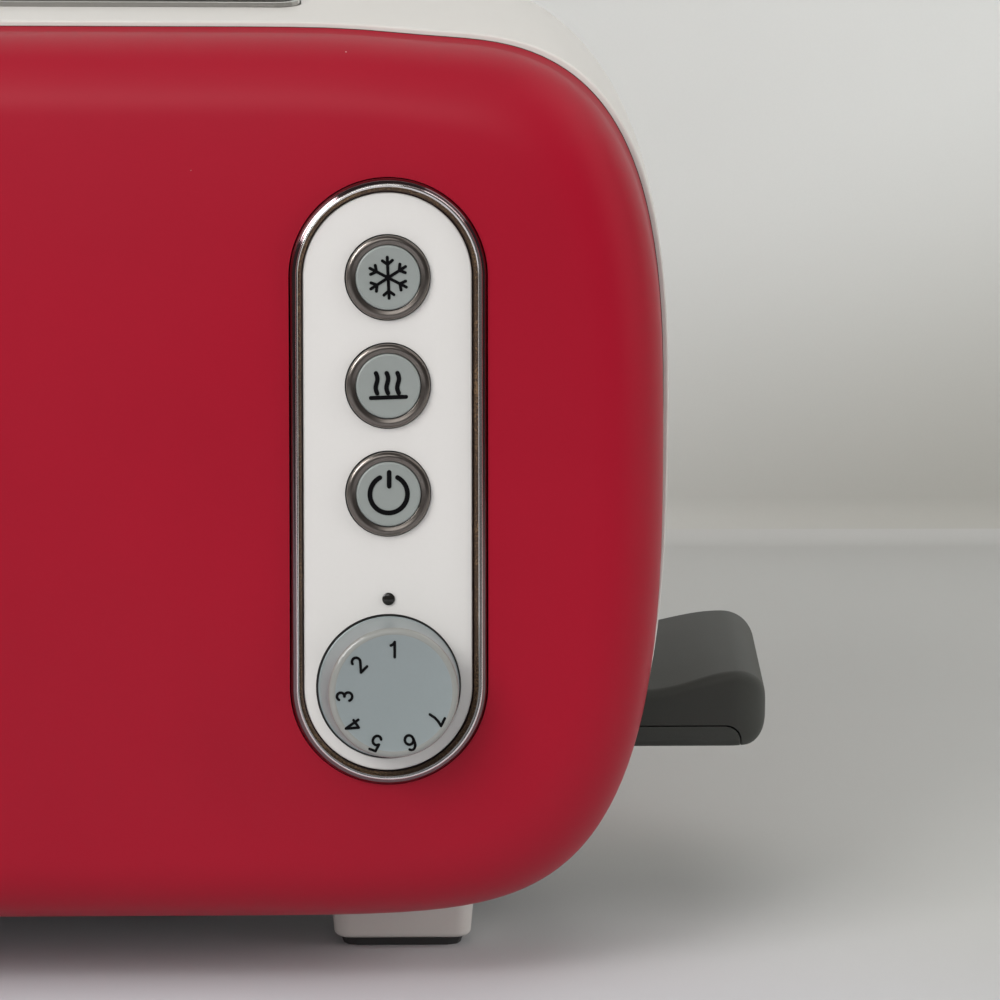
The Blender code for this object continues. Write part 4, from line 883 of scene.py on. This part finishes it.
# Sizes of the printed signs. Each next stroke stands a hair higher, so that no two tops share a plane.
flake = {"arm": 0.0042, "knee": 0.0027, "fork": 0.0013, "forkAngle": 52, "turn": 92.5, "stroke": 0.00062}
waves = {
    "bar": ((-0.0036, -0.0024), (0.0036, -0.00222)), "barStroke": 0.00082, "first": -0.0023, "pitch": 0.0022,
    "foot": -0.00145, "height": 0.0041, "lean": -0.00025, "swing": 0.00024, "stroke": 0.0009,
}
powerMark = {
    "radius": 0.00385, "gapAngle": 28, "ringStroke": 0.00098, "bar": ((0.0001, 0.0016), (0.0001, 0.0045)),
    "barStroke": 0.00094,
}


def snowflake(low, high):
    lines = []
    for i in range(6):
        turn = math.radians(flake["turn"] + 60 * i)
        armWay = Vector((math.cos(turn), math.sin(turn)))
        lines.append([(0, 0), tuple(armWay * flake["arm"])])
        for side in (-1, 1):
            fork = turn + side * math.radians(flake["forkAngle"])
            knee = armWay * flake["knee"]
            lines.append([tuple(knee), tuple(knee + Vector((math.cos(fork), math.sin(fork))) * flake["fork"])])
    return [stroke(f"flake{i}", line, flake["stroke"], low, high + i * hair) for i, line in enumerate(lines)]


def heatWaves(low, high):
    shapes = [stroke("heatBar", waves["bar"], waves["barStroke"], low, high)]
    for i in range(3):
        wave = []
        for k in range(13):
            t = k / 12
            swing = waves["swing"] * math.sin(t * 2 * math.pi + math.pi)
            x = waves["first"] + i * waves["pitch"] + waves["lean"] * t + swing
            wave.append((x, waves["foot"] + waves["height"] * t))
        shapes.append(stroke(f"wave{i}", wave, waves["stroke"], low, high + (i + 1) * hair))
    return shapes


def powerSign(low, high):
    gap, radius = powerMark["gapAngle"], powerMark["radius"]
    turns = [math.radians(90 + gap + (360 - 2 * gap) * k / 40) for k in range(41)]
    ring = [(radius * math.cos(turn), radius * math.sin(turn)) for turn in turns]
    return [stroke("powerRing", ring, powerMark["ringStroke"], low, high),
            stroke("powerBar", powerMark["bar"], powerMark["barStroke"], low, high + hair)]


signs = {"defrost": snowflake, "reheat": heatWaves, "cancel": powerSign}
signFoot, signRise = 0.0001, 0.00018        # into and above the button's dished face
ringFirst = turnPiece("ringPattern", ringProfile, steps=96, closed=True)
buttonFirst = turnPiece("buttonPattern", buttonProfile, steps=96)
for name, level in buttonLevels.items():
    spot = panelMatrix @ Matrix.Translation((0, level, 0))
    for first, label, finish, rides, replaced, slotName in (
        (ringFirst, f"ring_{name}", gunmetalPaint, "body", f"button_ring_{name}", "gunmetal"),
        (buttonFirst, f"cap_{name}", buttonPlastic, f"button_{name}", f"button_{name}", "grey_plastic"),
    ):
        piece = bpy.data.objects.new(label, first.data.copy())
        piece.data.name = label
        bpy.context.scene.collection.objects.link(piece)
        smoothPiece(place(piece, spot), 40)
        settle(wear(piece, finish), rides, [replaced])
    top = buttonProfile[0][1]
    sign = joinPieces(f"sign_{name}", signs[name](top - signFoot, top + signRise))
    place(sign, spot)
    settle(wear(sign, printInk), f"button_{name}")
for first in (ringFirst, buttonFirst):
    bpy.data.objects.remove(first, do_unlink=True)

dotLook = {"radius": 0.0013, "height": 0.0008, "seat": 0.0003, "flat": 0.385, "stem": 0.0007, "stemEnd": -0.002}
dotProfile = [(0, dotLook["height"])]
dotProfile += arc(0, dotLook["seat"], dotLook["radius"], 80, 0, 9, flat=dotLook["flat"])
stem, stemEnd = dotLook["stem"], dotLook["stemEnd"]
dotProfile += [(stem, dotLook["seat"]), (stem, stemEnd), (0, stemEnd)]
dot = turnPiece("index_bead", dotProfile, steps=40)
smoothPiece(place(dot, panelMatrix @ Matrix.Translation((0, dialLevel + plateLook["dotRise"], 0))), 50)
settle(wear(dot, blackGloss), "body", ["index_dot"])
print("panel ready")

# Browning dial
dialLook = {
    "radius": 0.0145, "topRadius": 0.01335, "height": 0.01238, "shoulder": 0.0012, "bottom": 0.0006,
    "wall": 0.0016, "hub": 0.0052, "hubEnd": 0.0012, "bore": 0.0033, "boreEnd": 0.0102,
    "faceDip": ((0.0004, 0.00012), (0.00022, 0.00006)),
    "skirt": ((0.0002, 0.0004), (0.0, 0.0002), (0.0001, 0.0)),
    "numerals": 0.0031, "numeralFoot": 0.0004, "stroke": 0.00054, "numeralRing": 0.00984,
    "ringShift": (-0.0002, -0.00095), "glossHighlightInset": 0.0003, "glossHighlightShare": 0.75,
}
dialAngles = {"1": 90, "2": 135, "3": 177.6, "4": 214.8, "5": 249, "6": 290.8, "7": 333.4}
top, bottom, radius, wall = dialLook["height"], dialLook["bottom"], dialLook["radius"], dialLook["wall"]
shoulder = dialLook["topRadius"] - dialLook["shoulder"]
dialProfile = [(0, top - dialLook["faceDip"][0][1])]
dialProfile += [(shoulder - inset, top - dip) for inset, dip in dialLook["faceDip"]]
dialProfile += arc(shoulder, top - dialLook["shoulder"], dialLook["shoulder"], 90, 5, 14)
dialProfile += [(radius - inset, bottom + rise) for inset, rise in dialLook["skirt"]]
dialProfile += [
    (radius - wall, bottom), (dialLook["topRadius"] - wall, top - wall), (dialLook["hub"], top - wall),
    (dialLook["hub"], dialLook["hubEnd"]), (dialLook["bore"], dialLook["hubEnd"]),
    (dialLook["bore"], dialLook["boreEnd"]), (0, dialLook["boreEnd"]),
]
dialMatrix = panelMatrix @ Matrix.Translation((0, dialLevel, 0))
dial = wear(turnPiece("dial_cap", dialProfile, steps=128), dialPlastic, dialShoulderHighlight)
# The rounded shoulder is smoother than the face and the wall, and a paler, warmer copy of the dial's colour as a
# painted highlight
glossHighlightLevel = top - dialLook["shoulder"] * dialLook["glossHighlightShare"]
for polygon in dial.data.polygons:
    reach = math.hypot(polygon.center.x, polygon.center.y)
    if reach > shoulder - dialLook["glossHighlightInset"] and polygon.center.z > glossHighlightLevel:
        polygon.material_index = 1
settle(smoothPiece(place(dial, dialMatrix), 35), "dial", ["dial_knob"])


# Bends of a numeral: points round an ellipse, from one angle to another
def bend(x, y, radiusX, radiusY, start, end, count=14):
    turns = [math.radians(start + (end - start) * i / count) for i in range(count + 1)]
    return [(x + radiusX * math.cos(turn), y + radiusY * math.sin(turn)) for turn in turns]


# Each numeral as strokes in a box one unit high, standing on its foot
digitStrokes = {
    "1": [[(0.0, 0.77), (0.12, 0.83), (0.22, 0.94), (0.25, 1.0)], [(0.25, 1.0), (0.25, 0.0)]],
    "2": [bend(0.29, 0.72, 0.27, 0.28, 165, -30) + [(0.02, 0.0)], [(0.02, 0.0), (0.58, 0.0)]],
    "3": [bend(0.27, 0.75, 0.25, 0.25, 155, -88), bend(0.27, 0.26, 0.28, 0.26, 88, -160)],
    "4": [[(0.44, 0.0), (0.44, 1.0)], [(0.44, 1.0), (0.0, 0.27)], [(0.0, 0.27), (0.6, 0.27)]],
    "5": [[(0.54, 1.0), (0.12, 1.0)], [(0.12, 1.0), (0.06, 0.52)],
          [(0.06, 0.52)] + bend(0.28, 0.31, 0.27, 0.31, 130, -150)],
    "6": [bend(0.32, 0.6, 0.29, 0.4, 50, 180) + bend(0.31, 0.31, 0.28, 0.31, 180, 540, 26)],
    "7": [[(0.0, 1.0), (0.56, 1.0)], [(0.56, 1.0), (0.38, 0.72), (0.25, 0.38), (0.2, 0.0)]],
}


# Numerals stand with their heads outward, printed on the dial's face
def makeNumerals():
    made = []
    size, width = dialLook["numerals"], dialLook["stroke"]
    for digit, angle in dialAngles.items():
        low, high = top - dialLook["numeralFoot"], top
        lines = digitStrokes[digit]
        sides = [x for line in lines for x, y in line]
        middle = Vector(((min(sides) + max(sides)) / 2, 0.5, 0)) * size
        turn = math.radians(angle)
        spot = Vector((math.cos(turn), math.sin(turn), 0)) * dialLook["numeralRing"]
        spot += Vector((*dialLook["ringShift"], 0))
        upright = Matrix.Rotation(turn - math.pi / 2, 4, "Z")
        for i, line in enumerate(lines):
            scaled = [(x * size, y * size) for x, y in line]
            piece = stroke(f"numeral{digit}", scaled, width, low, high + i * 2 * hair)
            made.append(place(piece, Matrix.Translation(spot) @ upright @ Matrix.Translation(-middle)))
    return joinPieces("dial_numerals", made)


numerals = makeNumerals()
place(numerals, dialMatrix)
settle(wear(numerals, printInk), "dial")
print("dial ready")

# Lever, as it lies pressed down
lever = {
    "inner": 0.1283, "length": 0.0312, "half": 0.03, "low": 0.0388, "top": (0.0554, 0.0567),
    "rise": (0.0041, 0.0035), "ease": (1.25, 0.95), "topRadius": 0.0074, "bottomRadius": 0.005,
    "corner": (0.009, 0.002), "skew": 0.0026, "edges": (0.0022, 0.0024), "limit": 0.45,
    "insertLength": 0.0232, "insertHeight": 0.005, "insertCorner": 0.0035, "seam": 0.0003, "cut": 0.01,
    "armCutHalf": 0.0013, "armCutLow": 0.0452, "armCutHigh": 0.0508, "armCutEnd": 0.1488,
}


# Rings along the lever. Pairs of values are for its front and its back edge.
def leverForm(name):
    outerEnd = lever["inner"] + lever["length"]
    crest = outerEnd - lever["topRadius"]
    places = [lever["inner"] + (crest - lever["inner"]) * i / 18 for i in range(19)]
    places += [crest + lever["topRadius"] * math.sin(math.pi / 2 * i / 12) for i in range(1, 13)]

    def dropAt(x, radius):
        past = max(0.0, x - (outerEnd - radius))
        return radius - math.sqrt(max(0.0, radius * radius - past * past))

    rings = []
    for x in places:
        share = min(1.0, (x - lever["inner"]) / (crest - lever["inner"]))
        low = lever["low"] + dropAt(x, lever["bottomRadius"])
        highs = []
        for top, rise, ease in zip(lever["top"], lever["rise"], lever["ease"]):
            curl = rise * (1 + math.cos(math.pi * share ** ease)) / 2
            highs.append(top - curl - dropAt(x, lever["topRadius"]))
        halves = [lever["half"] - dropAt(x, corner) for corner in lever["corner"]]
        thin = lever["limit"] * (min(highs) - low)
        upperRadius, lowerRadius = [min(radius, thin) for radius in lever["edges"]]
        ring = []
        for isBack, isTop, start in ((1, 1, 0), (0, 1, 90), (0, 0, 180), (1, 0, 270)):
            radius = upperRadius if isTop else lowerRadius
            middleY = (halves[isBack] - radius) * (1 if isBack else -1)
            middleZ = highs[isBack] - radius if isTop else low + radius
            for k in range(9):
                angle = math.radians(start + 90 * k / 8)
                y = middleY + radius * math.cos(angle)
                back = lever["skew"] * (1 - y / lever["half"]) / 2 * (x - lever["inner"]) / lever["length"]
                ring.append((bodyX(x - back), bodyY(y), middleZ + radius * math.sin(angle)))
        rings.append(ring)
    return skin(name, rings)


def insertSpace(name, clearance):
    cut, end = lever["cut"], lever["inner"] + lever["insertLength"] - clearance
    high = lever["low"] + lever["insertHeight"] - clearance
    return bodyBlock(
        name, (lever["inner"] - cut, -lever["half"] - cut, lever["low"] - cut), (end, lever["half"] + cut, high),
        lever["insertCorner"], 1, 10,
    )


leverCap = leverForm("lever_handle")
carve(leverCap, insertSpace("insertCut", 0.0))
carve(leverCap, bodyBlock(
    "armCut", (lever["inner"] - lever["cut"], -lever["armCutHalf"], lever["armCutLow"]),
    (lever["armCutEnd"], lever["armCutHalf"], lever["armCutHigh"]),
))
settle(wear(smoothPiece(leverCap, 35), leverPlastic), "carriage", ["lever_cap"])
leverInsert = carve(leverForm("lever_underpiece"), insertSpace("insertLimit", lever["seam"]), "INTERSECT")
settle(wear(smoothPiece(leverInsert, 35), insertPlastic), "carriage", ["lever_insert"])
print("lever ready")

# Feet
foot = {
    "length": 0.031, "width": 0.026, "taper": 0.001, "corner": 0.004, "bottomEdge": 0.0012, "low": 0.0019,
    "top": 0.0165, "screwRadius": 0.0035, "screwDepth": 0.0034, "shankRadius": 0.0018, "shankTop": 0.03,
    "below": -0.01,
}


def makeFoot(name, middle):
    halfX, halfY = foot["length"] / 2, foot["width"] / 2
    low = (middle[0] - halfX, middle[1] - halfY, foot["low"])
    high = (middle[0] + halfX, middle[1] + halfY, foot["top"])
    piece = roundedBlock(name, low, high, foot["corner"], 2, 10)
    editPiece(piece)
    pick(piece, "FACE", lambda face: face.normal.z < -0.9)
    shrink = [1 - foot["taper"] / half for half in (halfX, halfY)]
    bpy.ops.transform.resize(value=(*shrink, 1), center_override=(middle[0], middle[1], foot["low"]))
    pick(piece, "FACE", lambda face: face.normal.z < -0.9)
    bpy.ops.mesh.bevel(offset=foot["bottomEdge"], segments=6, affect="EDGES")
    finishEdit()
    carve(piece, bandForm("footLimit", panel["gap"]))
    centre = Matrix.Translation((middle[0], middle[1], 0))
    recessTop = foot["low"] + foot["screwDepth"]
    carve(piece, roundTool("screwRecess", foot["screwRadius"], foot["below"], recessTop, centre, 32))
    carve(piece, roundTool("shankHole", foot["shankRadius"], 0.0, foot["shankTop"], centre, 24))
    return smoothPiece(piece)


for side in ("front", "back"):
    for end in ("left", "right"):
        lowCorner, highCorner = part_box(f"foot_pad_{side}_{end}")
        foothold = makeFoot(f"foot_block_{side}_{end}", (lowCorner + highCorner) / 2)
        settle(wear(foothold, creamPlastic), "body", [f"foot_{side}_{end}"])
print("feet ready")

# Lift spring, which the carriage squashes against its upper seat
spring = {
    "x": 0.073269, "radius": 0.005, "wire": 0.0006, "low": 0.0634, "high": 0.1571, "turns": 8, "steps": 28,
    "anchor": 0.158, "keep": 0.37,
}


def makeSpring():
    count = spring["turns"] * spring["steps"]
    curve = bpy.data.curves.new("spring_coil", "CURVE")
    curve.dimensions = "3D"
    curve.bevel_depth = spring["wire"]
    curve.bevel_resolution = 3
    curve.use_fill_caps = True
    line = curve.splines.new("POLY")
    line.points.add(count)
    for i, point in enumerate(line.points):
        turn = 2 * math.pi * i / spring["steps"]
        x, y = spring["radius"] * math.cos(turn), spring["radius"] * math.sin(turn)
        rise = (spring["high"] - spring["low"]) * i / count
        point.co = (spring["x"] + x, bodyY(0) + y, spring["low"] + rise, 1)
    piece = bpy.data.objects.new("spring_coil", curve)
    bpy.context.scene.collection.objects.link(piece)
    activate(piece)
    bpy.ops.object.convert(target="MESH")
    return smoothPiece(named("spring_coil"), 50)


liftSpring = makeSpring()
settle(wear(liftSpring, drawnSteel), "body", ["lift_spring"])
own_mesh(liftSpring)
print("spring ready")

# Finishes of the CAD nodes that stay, by how their names start
micaBoards = {}
for label in ("front", "middle", "back"):
    lowCorner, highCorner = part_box(f"heater_{label}")
    micaBoards[f"heater_{label}"] = makeMica(f"micaBoard_{label}", (lowCorner.y + highCorner.y) / 2)
finishes = {
    "base_plate": creamPlastic, "tray_handle": creamPlastic, "crumb_tray": brushedSteel, "carriage": drawnSteel,
    "lever_arm": drawnSteel, "guide_rod": drawnSteel, "dial_shaft": drawnSteel, "magnet_core": brushedSteel,
    "magnet_coil": copperWire, "control_board": boardLacquer, "potentiometer": darkPlastic,
    "slot_liner": brushedSteel, "bread_guard": heatSteel, "bread_rack": heatSteel, "end_plate": heatSteel,
    "reflector": brushedSteel, "foot_pad": rubberPad, "foot_screw": brushedSteel, "switch": darkPlastic,
    **micaBoards,
}
for name, node in nodes.items():
    finish = next((material for start, material in finishes.items() if name.startswith(start)), None)
    if finish and not node.hide_render:
        for slot in node.material_slots:
            slot.material = finish
print("kept pieces finished")


# Table, wall, lamps and camera
stageLook = {
    "tableLeft": -2.2, "tableRight": 2.2, "tableFront": -2.0, "tableBack": 0.395, "tableBehind": 2.4,
    "wallHeight": 2.2, "bend": 0.012,
    "tableNear": (0.585, 0.595, 0.63), "tableFar": (0.482, 0.487, 0.475),
    "wallLow": (0.44, 0.44, 0.41), "wallHigh": (0.685, 0.703, 0.69),
}


# A flat colour that shades off along a line between two points, as painted shade on the table and the wall
def stageMaterial(name, near, far, start, end, roughness, oneSided=False):
    material, tree, surface, where = startMaterial(name, Roughness=roughness, Specular_IOR_Level=0.2)
    along = Vector(end) - Vector(start)
    along /= along.length_squared
    offset = compute(tree, "SUBTRACT", where, start, kind="VectorMath")
    share = compute(tree, "DOT_PRODUCT", offset, along, kind="VectorMath", result="Value")
    ease = add(tree, "ShaderNodeMapRange", interpolation_type="SMOOTHSTEP", Value=share)
    shaded = mixColours(tree, ease.outputs["Result"], near, far)
    tone = useGroup(tree, driftGroup, where, Color=shaded, Scale=9.0, Amount=0.05)
    feed(tree, surface.inputs["Base Color"], tone["Color"])
    if oneSided:
        facing = tree.nodes.new("ShaderNodeNewGeometry").outputs["Backfacing"]
        choice = add(tree, "ShaderNodeMixShader", Fac=facing)
        feed(tree, choice.inputs[1], surface.outputs["BSDF"])
        feed(tree, choice.inputs[2], tree.nodes.new("ShaderNodeBsdfTransparent").outputs["BSDF"])
        feed(tree, tree.nodes["Material Output"].inputs["Surface"], choice.outputs["Shader"])
    return material


def makeStage():
    deselect()
    left, right = stageLook["tableLeft"], stageLook["tableRight"]
    near, far = stageLook["tableFront"], stageLook["tableBack"]
    bpy.ops.mesh.primitive_plane_add(size=1, location=((left + right) / 2, (near + far) / 2, 0))
    sweep = added("tableAndWall", (right - left, far - near, 1))
    bpy.ops.object.mode_set(mode="EDIT")
    pick(sweep, "EDGE", lambda e: all(v.co.y > far - 0.01 for v in e.verts))
    bpy.ops.mesh.extrude_region_move(TRANSFORM_OT_translate={"value": (0, 0, stageLook["wallHeight"])})
    pick(sweep, "EDGE", lambda e: all(v.co.y > far - 0.01 and v.co.z < 0.01 for v in e.verts))
    bpy.ops.mesh.bevel(offset=stageLook["bend"], segments=8, affect="EDGES")
    finishEdit()
    smoothPiece(sweep, 60)
    # Painted shade: the table darkens from in front of the body to behind and right of it
    tableTop = stageMaterial(
        "tableTop", stageLook["tableNear"], stageLook["tableFar"], (0.02, -0.1, 0), (0.15, 0.05, 0), 0.6,
    )
    # Painted shade: the wall darkens towards its foot
    backWall = stageMaterial(
        "backWall", stageLook["wallLow"], stageLook["wallHigh"], (0.2, far, -0.02), (0.15, far, 0.1), 0.9,
        oneSided=True,
    )
    wear(sweep, tableTop, backWall)
    for polygon in sweep.data.polygons:
        polygon.material_index = 1 if polygon.center.z > stageLook["bend"] * 0.3 else 0
    recalculate(sweep)
    if max(sweep.data.polygons, key=lambda p: p.area).normal.z < 0:
        sweep.data.flip_normals()
    deselect()
    depth = stageLook["tableBehind"]
    middle = ((left + right) / 2, far - stageLook["bend"] + depth / 2, 0)
    bpy.ops.mesh.primitive_plane_add(size=1, location=middle)
    wear(added("tableBehind", (right - left, depth, 1)), tableTop)


makeStage()
# Place, size, power and roll. Soft lamps show in no reflection, and mirrored ones light nothing.
softLamps = {
    "window": ((-1.25, -1.6, 1.35), (1.1, 1.1), 31, 0),
    "ceiling": ((0.0, -0.75, 1.9), (1.6, 1.6), 13, 0),
    "room": ((-0.9, -2.3, 0.35), (1.6, 1.6), 19, 0),
    "bounce": ((1.25, -0.25, 0.48), (0.8, 0.8), 7.5, 0),
}
mirroredLamps = {
    "glint": ((-0.85, -0.5, 1.0), (0.35, 0.8), 17, -28),
    "skylight": ((-0.1, -1.7, 1.5), (1.2, 0.7), 7, 0),
    "sideWall": ((0.95, 0.0, 1.1), (0.7, 0.7), 1.8, 0),
}
aim = Vector((0.0, 0.0, 0.1))


def addLamp(name, spot, size, power, roll, colour, soft):
    data = bpy.data.lights.new(name, "AREA")
    data.shape = "RECTANGLE"
    data.size, data.size_y = size
    data.energy, data.color = power, colour
    lamp = bpy.data.objects.new(name, data)
    lamp.location = spot
    facing = (aim - lamp.location).to_track_quat("-Z", "Y").to_matrix()
    lamp.rotation_euler = (facing @ Matrix.Rotation(math.radians(roll), 3, "Z")).to_euler()
    lamp.visible_diffuse, lamp.visible_glossy = soft, not soft
    bpy.context.scene.collection.objects.link(lamp)


for name, look in softLamps.items():
    addLamp(name, *look, (1.0, 0.988, 0.972), True)
for name, look in mirroredLamps.items():
    addLamp(name, *look, (1.0, 1.0, 1.0), False)

world = bpy.data.worlds.new("room")
world.use_nodes = True
bpy.context.scene.world = world
world.node_tree.nodes["Background"].inputs["Color"].default_value = (0.5, 0.47, 0.46, 1)
world.node_tree.nodes["Background"].inputs["Strength"].default_value = 0.2

yaw, pitch, roll = camera["yaw"], camera["pitch"], camera["roll"]
forward = Vector((math.sin(yaw) * math.cos(pitch), math.cos(yaw) * math.cos(pitch), -math.sin(pitch)))
across = Vector((math.cos(yaw), -math.sin(yaw), 0))
upright = across.cross(forward)
eye = bpy.data.objects.new("eye", bpy.data.cameras.new("eye"))
eye.data.sensor_width = 36
eye.data.lens = camera["lens"]
eye.data.clip_end = 20
turned = Matrix((
    math.cos(roll) * across + math.sin(roll) * upright,
    -math.sin(roll) * across + math.cos(roll) * upright,
    -forward,
)).transposed().to_4x4()
turned.translation = Vector(camera["place"])
eye.matrix_world = turned
bpy.context.scene.collection.objects.link(eye)
bpy.context.scene.camera = eye
bpy.context.scene.view_settings.view_transform = "Standard"
print("stage ready")
